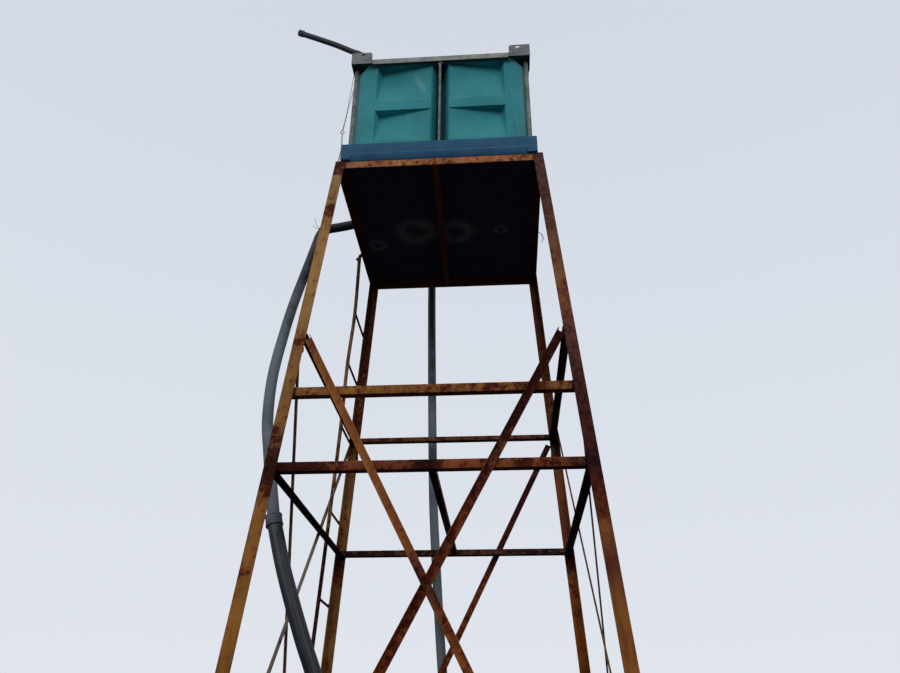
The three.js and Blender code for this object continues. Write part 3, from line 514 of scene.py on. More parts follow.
# Extruded black polyethylene pipe under a film of dust: dark slate where it is clean, pale
# blue-grey along its length where dust and chalk have settled. The share of dust by height is
# also painted shade, kept low where the pipes leave the tank.
dustLook = {"cloud": 0.16, "speck": 0.006, "roughness": (0.42, 0.8), "bump": 0.15, "depth": 0.0008}
pipeShades = {
    # clean, dusty, and the share of dust between two heights, kept low near the tank as painted shade
    "supplyPlastic": ("#262C38", "#76828E", 0, 4.5, [
        (0, 0.1), (2.0, 0.1), (2.4, 0.16), (2.5, 0.5), (3.3, 0.6), (3.8, 0.46), (4.15, 0.26), (4.4, 0.1)]),
    "dropPlastic": ("#262C36", "#7C8890", 0, 4.5, [
        (0, 0.6), (2.6, 0.6), (3.3, 0.5), (3.7, 0.25), (4.4, 0.1)]),
    "spoutPlastic": ("#1E2128", "#4A4F58", 4.9, 5.4, [(4.9, 0.2), (5.25, 0.3), (5.33, 0.6)]),
}


def dustyPipe(name, clean, dust, low, high, stops):
    look = dustLook
    add, finish, coords = newMaterial(name)
    clouds = add("TexNoise", {"Scale": 1 / look["cloud"], "Detail": 6, "Roughness": 0.6, "Vector": coords})
    fine = add("TexNoise", {"Scale": 1 / look["speck"], "Detail": 4, "Vector": coords})
    parts = add("SeparateXYZ", {0: coords})
    share = add("MapRange", {"From": (low, high), "Value": parts.outputs["Z"]})
    # dust by height, which near the tank is painted shade
    dustAndShade = add("ValToRGB", {"stops": shares(stops, low, high), "Fac": share})
    spotted = add("Math", {"operation": "MULTIPLY_ADD", 0: fine, 1: 0.3, 2: clouds})
    level = add("Math", {"operation": "ADD", 0: spotted, 1: dustAndShade})
    dusty = add("MapRange", {"interpolation_type": "SMOOTHSTEP", "From": (0.85, 1.3), "Value": level})
    colour = add("Mix", {0: dusty, 6: clean, 7: dust})
    return finish(look, colour, fine, dusty)


# The deck's underside: sheet steel that has gone near black, browner in clouds, with pale rings
# where water has dripped and dried.
deckLook = {
    "black": "#3E4258", "brown": "#5C4844", "ring": "#DCD09C",
    # x, y and radius of each ring, and how dark one is from its middle out
    "rings": [(-0.18, 0.034, 0.085), (0.053, 0.049, 0.075), (0.303, 0.04, 0.03), (-0.42, 0.15, 0.04)],
    "profile": [(0.0, 0.1), (0.25, 0.15), (0.55, 0.8), (0.72, 0.5), (1.0, 0.0)],
    "cloud": 0.09, "wobble": 0.045, "roughness": 0.85, "bump": 0.5, "depth": 0.0015,
}


def blackenedDeck():
    look = deckLook
    add, finish, coords = newMaterial("blackenedDeck")
    clouds = add("TexNoise", {"Scale": 1 / look["cloud"], "Detail": 6, "Roughness": 0.65, "Vector": coords})
    base = add("ValToRGB", {"stops": [(0.4, look["black"]), (0.7, look["brown"])], "Fac": clouds})
    flat = add("VectorMath", {"operation": "MULTIPLY", 0: coords, 1: (1, 1, 0)})
    wobble = add("Math", {"operation": "MULTIPLY_ADD", 0: clouds, 1: 2 * look["wobble"], 2: -look["wobble"]})
    total = None
    for x, y, radius in look["rings"]:
        away = add("VectorMath", {"operation": "DISTANCE", 0: flat, 1: (x, y, 0)})
        uneven = add("Math", {"operation": "ADD", 0: away, 1: wobble})
        share = add("MapRange", {"From Max": radius * 1.7, "Value": uneven})
        ring = add("ValToRGB", {"stops": look["profile"], "Fac": share})
        total = add("Math", {"operation": "MAXIMUM", 0: total, 1: ring}) if total else ring
    faded = add("Math", {"operation": "MULTIPLY", 0: total, 1: clouds})
    colour = add("Mix", {0: faded, 6: base, 7: look["ring"]})
    return finish(look, colour, clouds)


steel = {name: weatheredSteel(name, {**ochre, **look}) for name, look in steelLooks.items()}
tankPlastic = chalkedPolyethylene()
trayPaint = navyEnamel()
zinc = {name: dulledZinc(name, *shades) for name, shades in zincShades.items()}
plastic = {name: dustyPipe(name, *look) for name, look in pipeShades.items()}
deckSteel = blackenedDeck()
print("materials made")


# Helpers for shapes

smoothAngle = 35         # degrees; sharper edges than this stay sharp


def finishPiece(name, bm, material, replaced=()):
    mesh = bpy.data.meshes.new(name)
    bm.to_mesh(mesh)
    bm.free()
    for face in mesh.polygons:
        face.use_smooth = True
    mesh.set_sharp_from_angle(angle=math.radians(smoothAngle))
    mesh.materials.append(material)
    piece = bpy.data.objects.new(name, mesh)
    bpy.context.scene.collection.objects.link(piece)
    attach(piece, "root")
    if replaced:
        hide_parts(*replaced)


def replaceNode(nodeName, ending, bm, material):
    finishPiece(f"{nodeName}_{ending}", bm, material, [nodeName])


def bevelEdges(bm, edges, width, segments=2):
    bmesh.ops.bevel(bm, geom=edges, offset=width, offset_type="OFFSET", segments=segments, profile=0.5,
                    affect="EDGES", clamp_overlap=True, material=-1)


def soften(bm, width, segments=2, degrees=30):
    limit = math.radians(degrees)
    sharp = [edge for edge in bm.edges if len(edge.link_faces) == 2 and edge.calc_face_angle() > limit]
    bevelEdges(bm, sharp, width, segments)


def addBlock(bm, low, high):
    size = [b - a for a, b in zip(low, high)]
    middle = [(a + b) / 2 for a, b in zip(low, high)]
    place = Matrix.Translation(middle) @ Matrix.Diagonal((*size, 1))
    bmesh.ops.create_cube(bm, size=1, matrix=place)


def addRod(bm, start, end, radius, sides=20, endRadius=None):
    start, end = Vector(start), Vector(end)
    turn = (end - start).to_track_quat("Z", "Y").to_matrix().to_4x4()
    return bmesh.ops.create_cone(
        bm, cap_ends=True, segments=sides, radius1=radius, radius2=radius if endRadius is None else endRadius,
        depth=(end - start).length, matrix=Matrix.Translation((start + end) / 2) @ turn)["verts"]


def smoothRoute(points, perSpan):
    # the centripetal curve through the points that the CAD routes follow
    spots = [Vector(p) for p in points]
    spots = [2 * spots[0] - spots[1]] + spots + [2 * spots[-1] - spots[-2]]
    route = []
    for a, b, c, d in zip(spots, spots[1:], spots[2:], spots[3:]):
        ab, bc, cd = (max((q - p).length, 1e-6) ** 0.5 for p, q in ((a, b), (b, c), (c, d)))
        leave = ((b - a) / ab - (c - a) / (ab + bc) + (c - b) / bc) * bc
        arrive = ((c - b) / bc - (d - b) / (bc + cd) + (d - c) / cd) * bc
        for step in range(perSpan):
            t = step / perSpan
            route.append((2 * t**3 - 3 * t**2 + 1) * b + (t**3 - 2 * t**2 + t) * leave
                         + (3 * t**2 - 2 * t**3) * c + (t**3 - t**2) * arrive)
    route.append(spots[-2])
    return route


def addTube(bm, route, radius, sides=20, radii=None):
    # a closed round bar along the route; radii are shares of the radius
    curve = bpy.data.curves.new("route", "CURVE")
    curve.dimensions = "3D"
    curve.bevel_depth = radius
    curve.bevel_resolution = max(0, sides // 2 - 2)
    curve.use_fill_caps = True
    line = curve.splines.new("POLY")
    line.points.add(len(route) - 1)
    for i, place in enumerate(route):
        line.points[i].co = (*place, 1)
        line.points[i].radius = radii[i] if radii else 1
    holder = bpy.data.objects.new("route", curve)
    mesh = bpy.data.meshes.new_from_object(holder)
    bm.from_mesh(mesh)
    bpy.data.objects.remove(holder)
    bpy.data.curves.remove(curve)
    bpy.data.meshes.remove(mesh)


jitter = random.Random(7)
# a bead's ripples: their length in metres, the rest as shares of the bead's radius
ripple = {"long": 0.0022, "high": 0.22, "uneven": 0.12, "end": 0.35}


def addWeld(bm, start, end, radius):
    start, end = Vector(start), Vector(end)
    count = max(4, int((end - start).length / ripple["long"]))
    route = [start.lerp(end, i / (count - 1)) for i in range(count)]
    radii = []
    for i in range(count):
        swell = 1 + ripple["high"] * math.sin(i * 1.7) + jitter.uniform(-ripple["uneven"], ripple["uneven"])
        radii.append(swell * (ripple["end"] if i in (0, count - 1) else 1))
    addTube(bm, route, radius, 8, radii)


# shares of a bolt's size across the flats
boltShares = {"washer": 0.14, "washerWide": 0.72, "head": 0.75, "headWide": 0.577, "edge": 0.05}


def addBolt(bm, place, along, size):
    # a hexagon head on a washer; size is across the flats, along points out of the surface
    place, along = Vector(place), Vector(along).normalized()
    seat = place + along * size * boltShares["washer"]
    addRod(bm, place, seat, size * boltShares["washerWide"], 20)
    head = addRod(bm, seat, place + along * size * boltShares["head"], size * boltShares["headWide"], 6)
    rims = [edge for edge in bm.edges if all(vert in head for vert in edge.verts)]
    bevelEdges(bm, rims, size * boltShares["edge"], 1)


def extrude(bm, faces, depth):
    made = bmesh.ops.extrude_face_region(bm, geom=faces)["geom"]
    bmesh.ops.translate(bm, vec=depth, verts=[part for part in made if isinstance(part, bmesh.types.BMVert)])


def addPrism(bm, outline, depth):
    # a closed outline in space, pushed along the vector depth
    verts = bmesh.ops.create_circle(bm, cap_ends=True, radius=1, segments=len(outline))["verts"]
    for vert, place in zip(verts, outline):
        vert.co = place
    extrude(bm, [verts[0].link_faces[0]], depth)


def addTurned(bm, profile, steps):
    # a profile of radius and height, spun about the tower's axis
    verts = [bm.verts.new((radius, 0, z)) for radius, z in profile]
    edges = [bm.edges.new(pair) for pair in zip(verts, verts[1:])]
    bmesh.ops.spin(bm, geom=verts + edges, cent=(0, 0, 0), axis=(0, 0, 1), angle=2 * math.pi, steps=steps,
                   use_merge=True)


def tidied(bm):
    bmesh.ops.remove_doubles(bm, verts=bm.verts, dist=1e-5)
    bmesh.ops.recalc_face_normals(bm, faces=bm.faces)


def dressed(nodeName, material, width, segments=2):
    # the CAD shape with its edges rounded
    source = nodes[nodeName]
    bm = bmesh.new()
    bm.from_mesh(source.data)
    bm.transform(source.matrix_world)
    bmesh.ops.remove_doubles(bm, verts=bm.verts, dist=1e-5)
    bmesh.ops.dissolve_limit(bm, angle_limit=math.radians(2), verts=bm.verts, edges=bm.edges,
                             use_dissolve_boundaries=False)
    soften(bm, width, segments)
    replaceNode(nodeName, "finished", bm, material)


# The stand keeps the CAD angles, with the rounded edges of rolled steel
edgeLook = {"steel": 0.0011, "deck": 0.0006, "tank": 0.003, "tray": 0.0022, "rail": 0.0032}
steelPieces = {
    "leftFrontLeg": ["leg_front_left", "foot_front_left"],
    "rightFrontLeg": ["leg_front_right", "foot_front_right"],
    "leftBackLeg": ["leg_back_left", "foot_back_left"],
    "rightBackLeg": ["leg_back_right", "foot_back_right"],
    "frontBar": ["front_bar"],
    "lowerFrontBar": ["lower_bar_front"],
    "rings": ["upper_bar_left", "upper_bar_right", "upper_bar_back", "lower_bar_left", "lower_bar_right"],
    "darkRings": ["lower_bar_back", "lower_bar_middle"],
    "ochreBraces": ["brace_front_falling"],
    "paleBraces": ["brace_left_falling"],
    "beigeBraces": ["brace_right_rising"],
    "rustedBraces": ["brace_front_rising", "brace_back_rising", "brace_back_falling"],
    "darkBraces": ["brace_left_rising", "brace_right_falling"],
    "platformFront": ["platform_beam_front"],
    "platformRest": ["platform_beam_back", "platform_beam_left", "platform_beam_right"],
    "deckBeam": ["platform_beam_middle"],
}
for look, names in steelPieces.items():
    for nodeName in names:
        dressed(nodeName, steel[look], edgeLook["steel"])
dressed("deck_plate", deckSteel, edgeLook["deck"], 1)
print("stand made")


# The legs' heels: how far they are from the axis at a height, measured on the frame
gap = 0.0003             # between touching CAD solids
legWide = 0.050
legLow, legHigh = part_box("leg_front_right")
legTall = legHigh.z - legLow.z
leanX = (legHigh.x - legLow.x - legWide) / legTall
leanY = (legHigh.y - legLow.y - legWide) / legTall


def heelX(z):
    return legHigh.x - leanX * (z - legLow.z)


def heelY(z):
    return -legLow.y - leanY * (z - legLow.z)


# Weld beads where the bars and the diagonals meet the legs and the tie meets the lower ring
weldLook = {
    "bead": 0.0032,
    "flange": 0.0053,                # from a bar's end to the far edge of the leg's flange, less its width
    "proud": 0.001, "under": (0.004, 0.036),      # out of the bar's face, and along its underside
    "tack": 0.026, "tackIn": 0.005,
    "tackUp": {"side": 0.03, "front": 0.065},     # from a diagonal's ends
}
legBars = ["front_bar", "lower_bar_front", "lower_bar_back", "upper_bar_back",
           "upper_bar_left", "upper_bar_right", "lower_bar_left", "lower_bar_right"]


def addBarWelds(bm):
    bead, proud = weldLook["bead"], weldLook["proud"]
    near, far = weldLook["under"]
    for nodeName in legBars:
        low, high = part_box(nodeName)
        run, out = (1, 0) if nodeName.endswith(("left", "right")) else (0, 1)
        inward = 1 if low[out] < 0 else -1
        face = low[out] if low[out] < 0 else high[out]

        def spot(along, deep, z):
            place = Vector((0, 0, z))
            place[run] = along
            place[out] = face + inward * deep
            return place

        for end in (low[run], high[run]):
            edge = end + (legWide - weldLook["flange"]) * (1 if end < 0 else -1)
            addWeld(bm, spot(edge, -proud, low.z), spot(edge, -proud, high.z), bead)
            addWeld(bm, spot(end, near, low.z - proud), spot(end, far, low.z - proud), bead)
    low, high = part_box("lower_bar_middle")
    for y in (low.y, high.y):
        addWeld(bm, (low.x, y, low.z), (high.x, y, low.z), bead)
        addWeld(bm, (high.x, y, low.z), (high.x, y, high.z), bead)


def addBraceWelds(bm):
    half = Vector((0, 0, weldLook["tack"] / 2))
    for nodeName in [name for name in nodes if name.startswith("brace_")]:
        low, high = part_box(nodeName)
        onSide = high.x - low.x < 0.5 * (high.y - low.y)
        up = weldLook["tackUp"]["side" if onSide else "front"]
        for z in (low.z + up, high.z - up):
            first = ("rising" in nodeName) == (z < (low.z + high.z) / 2)
            if onSide:
                left = low.x < 0
                front = first != left
                x, y = heelX(z) - weldLook["tackIn"], heelY(z) - legWide
            else:
                front = low.y < 0
                left = first == front
                x, y = heelX(z) - legWide, heelY(z) - weldLook["tackIn"]
            spot = Vector((-x if left else x, -y if front else y, z))
            addWeld(bm, spot - half, spot + half, weldLook["bead"])


bm = bmesh.new()
addBarWelds(bm)
addBraceWelds(bm)
finishPiece("stand_welds", bm, steel["welds"])


# Each foot plate is held by four bolts into the footing
footLook = {"bolt": 0.016, "in": 0.024, "stud": (0.010, 0.022), "studWide": 0.0048, "bead": 0.004}


def footBolts():
    look = footLook
    bm = bmesh.new()
    for nodeName in [name for name in nodes if name.startswith("foot_")]:
        low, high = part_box(nodeName)
        for x in (low.x + look["in"], high.x - look["in"]):
            for y in (low.y + look["in"], high.y - look["in"]):
                addBolt(bm, (x, y, high.z), (0, 0, 1), look["bolt"])
                start, end = (Vector((x, y, high.z + up)) for up in look["stud"])
                addRod(bm, start, end, look["studWide"], 12)
        heel = Vector(((low.x + high.x) / 2, (low.y + high.y) / 2, high.z))
        addWeld(bm, heel, heel - Vector((math.copysign(legWide, heel.x), 0, 0)), look["bead"])
        addWeld(bm, heel, heel - Vector((0, math.copysign(legWide, heel.y), 0)), look["bead"])
    finishPiece("foot_bolts", bm, steel["welds"])


footBolts()
print("welds and bolts made")


# Ladder: one round rail with rungs to the leg, a hook at its top and a bead at every rung
ladderLook = {
    "rail": 0.010, "rung": 0.0065, "off": 0.240, "rungIn": 0.012, "hookWide": 0.95, "hookBarWide": 0.8,
    "bead": 0.0032, "beadAt": [(0.004, 0.002, -0.008), (0.004, 0.006, 0.008)],      # by the rail
    "legBead": 0.0028, "legBeadOff": (0.005, 0.006), "legBeadIn": 0.014,
    "route": [(0.223, 4.196), (0.318, 3.864), (0.332, 3.542), (0.402, 3.182), (0.452, 2.747), (0.495, 2.333)],
    "rungs": [3.865, 3.545, 3.190, 2.725, 2.290, 1.960, 1.640, 1.320, 1.000, 0.680, 0.360],
    "hook": [(0, 0, -0.012), (0.004, -0.006, 0.010), (0.03, 0.004, 0.026), (0.052, 0.010, 0.022)],
    "hookBar": [(-0.020, 0.008, -0.010), (0.022, -0.004, 0.024)],
}


def ladder():
    look = ladderLook
    rail, rung = look["rail"], look["rung"]
    bm = bmesh.new()
    route = [Vector((-(heelX(z) + gap + rail), y, z)) for y, z in look["route"]]
    route.append(Vector((-(heelX(0) + gap + rail), heelY(0) - look["off"], 0)))
    curve = smoothRoute(route, 12)
    addTube(bm, curve, rail, 16)
    addTube(bm, smoothRoute([route[0] + Vector(way) for way in look["hook"]], 6), rail * look["hookWide"], 12)
    start, end = (route[0] + Vector(way) for way in look["hookBar"])
    addRod(bm, start, end, rail * look["hookBarWide"], 12)
    beadOut, beadUp = look["legBeadOff"]
    for z in look["rungs"]:
        x = -(heelX(z) + gap + rung)
        near = min(curve, key=lambda place: abs(place.z - z))
        start = Vector((x, near.y, z))
        addRod(bm, start, (x, heelY(z) - look["rungIn"], z), rung, 14)
        addWeld(bm, *(start + Vector(way) for way in look["beadAt"]), look["bead"])
        ends = [(x + beadOut, heelY(z) - deep, z + beadUp) for deep in (legWide, look["legBeadIn"])]
        addWeld(bm, *ends, look["legBead"])
    replaceNode("ladder", "round", bm, steel["ladderSteel"])


ladder()
print("ladder made")


# Tank: the moulded body, its edges rounded as they leave the mould
for nodeName in ("tank_walls", "tank_floor", "tank_top"):
    dressed(nodeName, tankPlastic, edgeLook["tank"], 3)


# The cap: its dish and rim, in shares of its radius and in metres, and the ribs round it
capLook = {"ribs": 40, "rib": 0.0028, "dish": (0.62, 0.66), "deep": 0.003, "rim": 0.012,
           "round": (0.004, 0.006), "shoulder": 0.010, "foot": 0.001}


def fillerCap():
    look = capLook
    low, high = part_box("filler_cap")
    outer = high.x - look["rib"]
    flat, slope = look["dish"]
    rounded, drop = look["round"]
    foot = look["foot"]
    floor = high.z - look["deep"]
    profile = [(0, high.z), (outer * flat, high.z), (outer * slope, floor), (outer - look["rim"], floor),
               (outer - rounded, high.z - drop), (outer, high.z - look["shoulder"]), (outer, low.z + foot),
               (outer - foot, low.z), (0, low.z)]
    bm = bmesh.new()
    addTurned(bm, profile, 80)
    tidied(bm)
    for i in range(look["ribs"]):
        turn = 2 * math.pi * i / look["ribs"]
        x, y = outer * math.cos(turn), outer * math.sin(turn)
        addRod(bm, (x, y, low.z + foot), (x, y, high.z - look["shoulder"]), look["rib"], 8)
    replaceNode("filler_cap", "ribbed", bm, plastic["spoutPlastic"])


# Pipes: smooth tubes on the CAD routes, with nuts, a joint ring and a tie of wire at the elbow
pipeLook = {
    "supply": 0.027, "supplyLow": 0.032, "drop": 0.025, "spout": 0.016,
    "sideY": 0.168, "rearX": -0.154, "outletZ": 4.425,
    "jointAt": 14, "jointTall": 0.052, "jointEdge": 0.002,
    # on the spout, from its tip or up from its foot: start, end, and the radii beyond the pipe
    "tipRing": (0.030, 0.002, 0.003), "footNut": (0, 0.016, 0.008),
    "footCollar": (0.014, 0.024, 0.005, 0.001),
    # the joint's sleeve and the collars at its ends: place, radius beyond the pipe, half length
    "joint": [(0, 0.0045, 0.026), (-0.8, 0.006, 0.005), (0.8, 0.006, 0.005)],
    "supplyRoute": [
        (-0.479, 0.168, 4.425), (-0.560, 0.160, 4.402), (-0.656, 0.152, 4.376), (-0.722, 0.146, 4.360),
        (-0.752, 0.141, 4.342), (-0.768, 0.135, 4.306), (-0.781, 0.125, 4.234), (-0.804, 0.100, 4.080),
        (-0.825, 0.075, 3.939), (-0.844, 0.050, 3.804), (-0.857, -0.020, 3.560), (-0.866, -0.090, 3.260),
        (-0.846, -0.138, 3.000), (-0.809, -0.176, 2.836), (-0.728, -0.228, 2.485), (-0.654, -0.254, 2.270),
        (-0.548, -0.268, 2.006), (-0.475, -0.268, 1.838), (-0.388, -0.270, 1.560), (-0.310, -0.270, 1.200),
        (-0.262, -0.275, 0.800), (-0.245, -0.280, 0.380), (-0.240, -0.280, 0.0)],
    "dropRoute": [
        (-0.154, 0.548, 4.425), (-0.154, 0.690, 4.425), (-0.154, 0.738, 4.408), (-0.154, 0.752, 4.360),
        (-0.153, 0.754, 4.200), (-0.134, 0.756, 3.286), (-0.122, 0.775, 2.842), (-0.104, 0.800, 2.514),
        (-0.079, 0.815, 2.140), (-0.048, 0.822, 1.750), (-0.010, 0.828, 1.100), (0.020, 0.830, 0.500),
        (0.030, 0.830, 0.0)],
    "spoutRoute": [
        (-0.250, -0.380, 4.9853), (-0.250, -0.380, 5.013), (-0.300, -0.410, 5.031), (-0.385, -0.460, 5.047),
        (-0.458, -0.498, 5.098), (-0.515, -0.500, 5.130), (-0.609, -0.500, 5.190), (-0.722, -0.500, 5.252),
        (-0.841, -0.500, 5.316)],
}
nutLook = {
    # collar, body and mouth: from, to, and the radius at each end
    "turned": [(0, 0.006, 0.04462, 0.04462), (0.004, 0.030, 0.043, 0.043), (0.029, 0.037, 0.040, 0.032)],
    "ribs": 16, "rib": 0.003, "ribOut": 0.043, "ribAlong": (0.006, 0.028),
}


def addNut(bm, place, along):
    # a ribbed compression nut that starts at place
    look = nutLook
    for start, end, wide, endWide in look["turned"]:
        addRod(bm, place + along * start, place + along * end, wide, 40, endWide)
    across = along.orthogonal().normalized() * look["ribOut"]
    for i in range(look["ribs"]):
        out = Matrix.Rotation(2 * math.pi * i / look["ribs"], 3, along) @ across
        addRod(bm, *(place + along * at + out for at in look["ribAlong"]), look["rib"], 8)


def supplyPipe():
    look = pipeLook
    route = look["supplyRoute"]
    at = look["jointAt"]
    bm = bmesh.new()
    addTube(bm, smoothRoute(route[:at + 1], 8), look["supply"], 28)
    addTube(bm, smoothRoute(route[at:], 8), look["supplyLow"], 28)
    before, joint, after = (Vector(route[i]) for i in (at - 1, at, at + 1))
    along = (after - before).normalized()
    for share, beyond, half in look["joint"]:
        middle = joint + along * look["jointTall"] / 2 * share
        rod = addRod(bm, middle - along * half, middle + along * half, look["supplyLow"] + beyond, 32)
        rims = []
        for edge in bm.edges:
            way = (edge.verts[0].co - edge.verts[1].co).normalized()
            if all(vert in rod for vert in edge.verts) and abs(way.dot(along)) < 0.5:
                rims.append(edge)
        bevelEdges(bm, rims, look["jointEdge"])
    outlet = Vector((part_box("tank_walls")[0].x, look["sideY"], look["outletZ"]))
    addNut(bm, outlet, Vector((-1, 0, 0)))
    replaceNode("supply_pipe", "smooth", bm, plastic["supplyPlastic"])


def dropPipe():
    look = pipeLook
    bm = bmesh.new()
    addTube(bm, smoothRoute(look["dropRoute"], 8), look["drop"], 26)
    outlet = Vector((look["rearX"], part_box("tank_walls")[1].y, look["outletZ"]))
    addNut(bm, outlet, Vector((0, 1, 0)))
    replaceNode("drop_pipe", "smooth", bm, plastic["dropPlastic"])


def spout():
    look = pipeLook
    radius = look["spout"]
    route = smoothRoute(look["spoutRoute"], 8)
    bm = bmesh.new()
    addTube(bm, route, radius, 22)
    tip, along = route[-1], (route[-1] - route[-2]).normalized()
    foot, up = route[0], Vector((0, 0, 1))
    start, end, beyond = look["tipRing"]
    addRod(bm, tip - along * start, tip - along * end, radius + beyond, 28)
    start, end, beyond = look["footNut"]
    addRod(bm, foot + up * start, foot + up * end, radius + beyond, 6)
    start, end, beyond, endBeyond = look["footCollar"]
    addRod(bm, foot + up * start, foot + up * end, radius + beyond, 28, radius + endBeyond)
    replaceNode("spout", "smooth", bm, plastic["spoutPlastic"])


# A turn of thin wire round the supply pipe's elbow, with two loose ends
tieLook = {
    "wire": 0.0013, "turns": 3, "steps": 20, "at": 4, "pitch": 0.003, "waver": 0.0012,
    "knot": (-0.72, -0.62, 0.004),       # shares of the turn's radius, and metres up
    "ends": [(-0.026, -0.030, 0.058), (-0.036, -0.020, 0.012)], "bend": (0.45, 0.4, 0.25),
}


def elbowTie():
    look = tieLook
    before, at, after = (Vector(pipeLook["supplyRoute"][look["at"] + i]) for i in (-1, 0, 1))
    along = (after - before).normalized()
    around = pipeLook["supply"] + look["wire"] + 0.001
    across = along.orthogonal().normalized() * around
    steps, route = look["steps"], []
    for i in range(look["turns"] * steps + 1):
        out = Matrix.Rotation(2 * math.pi * i / steps, 3, along) @ across
        route.append(at + out + along * (look["pitch"] * i / steps + look["waver"] * math.sin(i * 0.9)))
    bm = bmesh.new()
    addTube(bm, route, look["wire"], 6)
    left, front, up = look["knot"]
    start = at + Vector((around * left, around * front, up))
    for end in look["ends"]:
        bend = start + Vector([way * share for way, share in zip(end, look["bend"])])
        addTube(bm, smoothRoute([start, bend, start + Vector(end)], 5), look["wire"] * 0.9, 6)
    finishPiece("elbow_tie", bm, zinc["wireZinc"])


fillerCap()
supplyPipe()
dropPipe()
spout()
elbowTie()
print("tank and pipes made")


dressed("tray", trayPaint, edgeLook["tray"], 3)

# Cage: square rails with rounded edges and sleeve joints, round posts, and plates with oval holes
cageLook = {
    "sleeve": 0.0007, "sleeveWide": 0.0022, "sleevesX": (-0.185, -0.040, 0.262),
    "bracketLong": 0.115, "plate": 0.004, "round": 0.016,
    "holeX": 0.067, "holeZ": 5.016, "holeHalf": (0.0125, 0.008),
    "shelfLong": 0.118, "shelfCut": 0.028, "beads": (0.03, 0.1), "bead": 0.0022,
    "tab": (0.024, 0.003, 0.026), "bolt": 0.009, "boltDown": 0.45, "boltAside": 0.005,
}


def dense(points, step):
    # the outline with points added so that none are further apart than step
    out = []
    for start, end in zip(points, points[1:] + points[:1]):
        count = max(1, round((Vector(end) - Vector(start)).length / step))
        out += [Vector(start).lerp(Vector(end), i / count) for i in range(count)]
    return out


def addHoledPlate(bm, place, thick):
    # a bracket plate with its oval hole; place turns along, out and height into a point
    look = cageLook
    foot, top = (corner.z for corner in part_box("cage_bracket_front_left"))
    long, turn = look["bracketLong"], look["round"]
    arc = [math.radians(15 * i) for i in range(7)]
    rounded = [(long - turn + turn * math.cos(a), top - turn + turn * math.sin(a)) for a in arc]
    outline = dense([(0, foot), (long, foot), *rounded, (0, top)], 0.007)
    halfLong, halfTall = look["holeHalf"]
    hole = []
    for along, z in outline:
        angle = math.atan2((z - look["holeZ"]) / halfTall, (along - look["holeX"]) / halfLong)
        hole.append((look["holeX"] + halfLong * math.cos(angle), look["holeZ"] + halfTall * math.sin(angle)))
    loops = []
    for loop in (outline, hole):
        verts = bmesh.ops.create_circle(bm, radius=1, segments=len(loop))["verts"]
        for vert, (along, z) in zip(verts, loop):
            vert.co = place(along, 0, z)
        loops += dict.fromkeys(edge for vert in verts for edge in vert.link_edges)
    faces = bmesh.ops.bridge_loops(bm, edges=loops)["faces"]
    extrude(bm, faces, Vector(place(0, thick, 0)) - Vector(place(0, 0, 0)))


def cornerBracket(nodeName):
    look = cageLook
    low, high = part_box(nodeName)
    sx = -1 if low.x < 0 else 1
    sy = -1 if low.y < 0 else 1
    x0, y0 = (low.x if sx < 0 else high.x), (low.y if sy < 0 else high.y)
    thick = look["plate"]
    bm = bmesh.new()
    addHoledPlate(bm, lambda along, out, z: (x0 - sx * along, y0 - sy * out, z), thick)
    addHoledPlate(bm, lambda along, out, z: (x0 - sx * (out + 0.0005), y0 - sy * (along + 0.002), z),
                  thick - 0.0005)
    into, long, cut = thick / 2, look["shelfLong"], look["shelfCut"]
    plan = [(cut, into), (long, into), (into, long), (into, cut)]
    addPrism(bm, [(x0 - sx * x, y0 - sy * y, low.z) for x, y in plan], (0, 0, thick))
    tidied(bm)
    soften(bm, 0.0007, 2)
    inner, z = thick + 0.001, low.z + thick
    near, far = look["beads"]
    addWeld(bm, (x0 - sx * near, y0 - sy * inner, z), (x0 - sx * far, y0 - sy * inner, z), look["bead"])
    addWeld(bm, (x0 - sx * inner, y0 - sy * near, z), (x0 - sx * inner, y0 - sy * far, z), look["bead"])
    replaceNode(nodeName, "plates", bm, zinc["plateZinc"])


def addTab(bm, top, radius, onEnds):
    # the flattened end of a middle post, bolted to the rail
    look = cageLook
    wide, thick, tall = look["tab"]
    out = Vector((0, math.copysign(1, top.y), 0)) if onEnds else Vector((math.copysign(1, top.x), 0, 0))
    side = Vector((1, 0, 0)) if onEnds else Vector((0, 1, 0))
    drop = Vector((0, 0, tall))
    corner = top - out * thick / 2
    outline = [corner - side * wide / 2, corner + side * wide / 2, corner + side * radius - drop,
               corner - side * radius - drop]
    addPrism(bm, outline, out * thick)
    bolt = top + out * thick / 2 - drop * look["boltDown"] + side * look["boltAside"]
    addBolt(bm, bolt, out, look["bolt"])
    bmesh.ops.recalc_face_normals(bm, faces=bm.faces)


def cagePost(nodeName):
    low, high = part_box(nodeName)
    x, y = (low.x + high.x) / 2, (low.y + high.y) / 2
    radius = (high.y - low.y) / 2
    middle = nodeName.startswith("cage_middle")
    bm = bmesh.new()
    addRod(bm, (x, y, low.z), (x, y, high.z - (cageLook["tab"][2] if middle else 0)), radius, 28)
    soften(bm, 0.0008, 2, 60)
    if middle:
        addTab(bm, Vector((x, y, high.z)), radius, abs(y) > abs(x))
    replaceNode(nodeName, "round", bm, zinc["postZinc"])


def railSleeves():
    # thin joints round the front and back rails
    grow, half = cageLook["sleeve"], cageLook["sleeveWide"] / 2
    bm = bmesh.new()
    for nodeName in ("cage_rail_front", "cage_rail_back"):
        low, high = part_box(nodeName)
        for x in cageLook["sleevesX"]:
            addBlock(bm, (x - half, low.y - grow, low.z - grow), (x + half, high.y + grow, high.z + grow))
    soften(bm, 0.0005, 1)
    finishPiece("rail_joints", bm, zinc["plateZinc"])


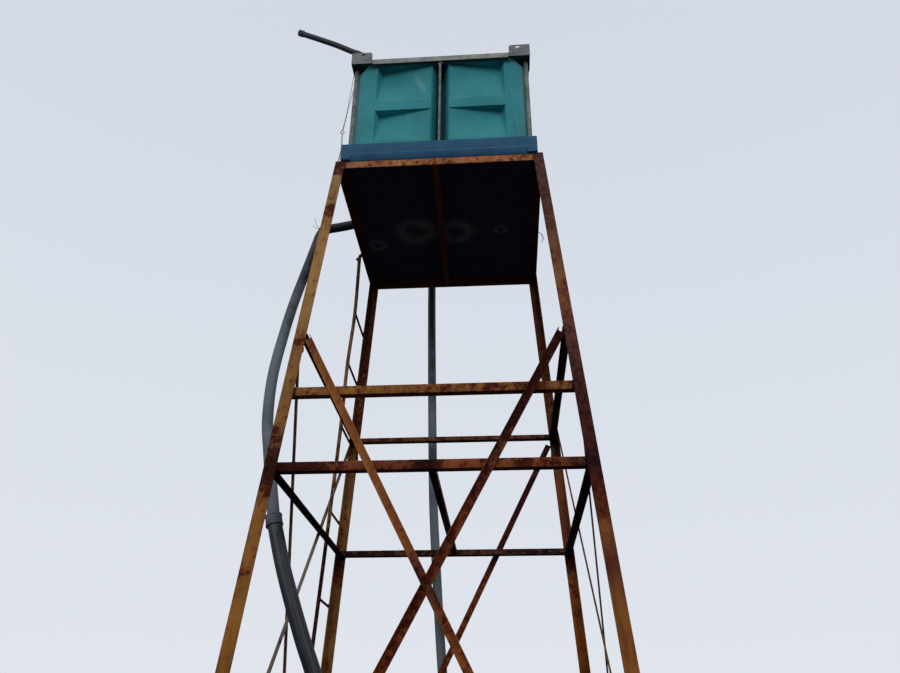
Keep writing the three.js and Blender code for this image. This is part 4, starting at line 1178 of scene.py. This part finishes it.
for nodeName in list(nodes):
    if nodeName.startswith("cage_bracket"):
        cornerBracket(nodeName)
    elif nodeName.startswith(("cage_post", "cage_middle")):
        cagePost(nodeName)
    elif nodeName.startswith("cage_rail"):
        dressed(nodeName, zinc["railZinc"], edgeLook["rail"], 3)
railSleeves()
print("cage made")


# Stay: two strands of wire, twisted at their ends and a long loop above the ring
stayLook = {
    "wire": 0.0014, "twist": 0.0022, "loop": 0.0075,
    "ring": 0.010, "ringWire": 0.0019, "ringAt": (-0.515, -0.535, 4.469),
    "upper": [(-0.4965, -0.466, 4.966), (-0.497, -0.457, 4.942), (-0.506, -0.491, 4.707),
              (-0.512, -0.523, 4.533), (-0.515, -0.535, 4.479)],
    "lower": [(-0.515, -0.535, 4.459), (-0.505, -0.562, 4.325), (-0.507, -0.578, 4.243),
              (-0.508, -0.575, 4.215)],
    "loopEnds": {"upper": 0.52, "lower": 0},      # shares of the way along the wires
    "turns": {"upper": 9, "lower": 7},
    "hook": [(0.004, 0.008, 0.012), (0.012, 0.004, -0.004)],
}


def addStrands(bm, part):
    look = stayLook
    route = smoothRoute(look[part], 16)
    loopEnd, turns = look["loopEnds"][part], look["turns"][part]
    count = len(route) - 1
    for start in (0, math.pi):
        strand = []
        for i, place in enumerate(route):
            share = i / count
            parted = math.sin(math.pi * min(1, share / loopEnd)) if loopEnd > 0 else 0
            turn = start + 2 * math.pi * turns * max(0, share - loopEnd)
            away = look["twist"] * (1 - parted) + look["loop"] * parted
            if i in (0, count):
                away = look["wire"] * 0.6
            strand.append(place + Vector((math.cos(turn), 0.3 * math.sin(turn), 0.2 * math.sin(turn))) * away)
        addTube(bm, strand, look["wire"], 8)


def wireStay():
    look = stayLook
    bm = bmesh.new()
    addStrands(bm, "upper")
    addStrands(bm, "lower")
    middle, ring = Vector(look["ringAt"]), []
    for i in range(33):
        turn = 2 * math.pi * i / 32
        ring.append(middle + Vector((math.cos(turn), 0, math.sin(turn))) * look["ring"])
    addTube(bm, ring, look["ringWire"], 10)
    hook = Vector(look["upper"][0])
    for side in (-1, 1):
        bends = [hook + Vector((x, y * side, z)) for x, y, z in look["hook"]]
        addTube(bm, smoothRoute([hook, *bends], 5), look["wire"], 8)
    replaceNode("wire_stay", "twisted", bm, zinc["wireZinc"])


# Two snips of old wire that hang on the right edge of the platform
snipLook = {"wire": 0.0014, "routes": [
    [(0.517, 0.02, 4.190), (0.532, 0.02, 4.168), (0.538, 0.01, 4.120), (0.529, 0.0, 4.098)],
    [(0.520, 0.03, 4.190), (0.541, 0.035, 4.176), (0.548, 0.04, 4.140)]]}


def wireSnips():
    bm = bmesh.new()
    for route in snipLook["routes"]:
        addTube(bm, smoothRoute(route, 6), snipLook["wire"], 8)
    finishPiece("wire_snips", bm, zinc["wireZinc"])


wireStay()
wireSnips()
print("stay and wires made")
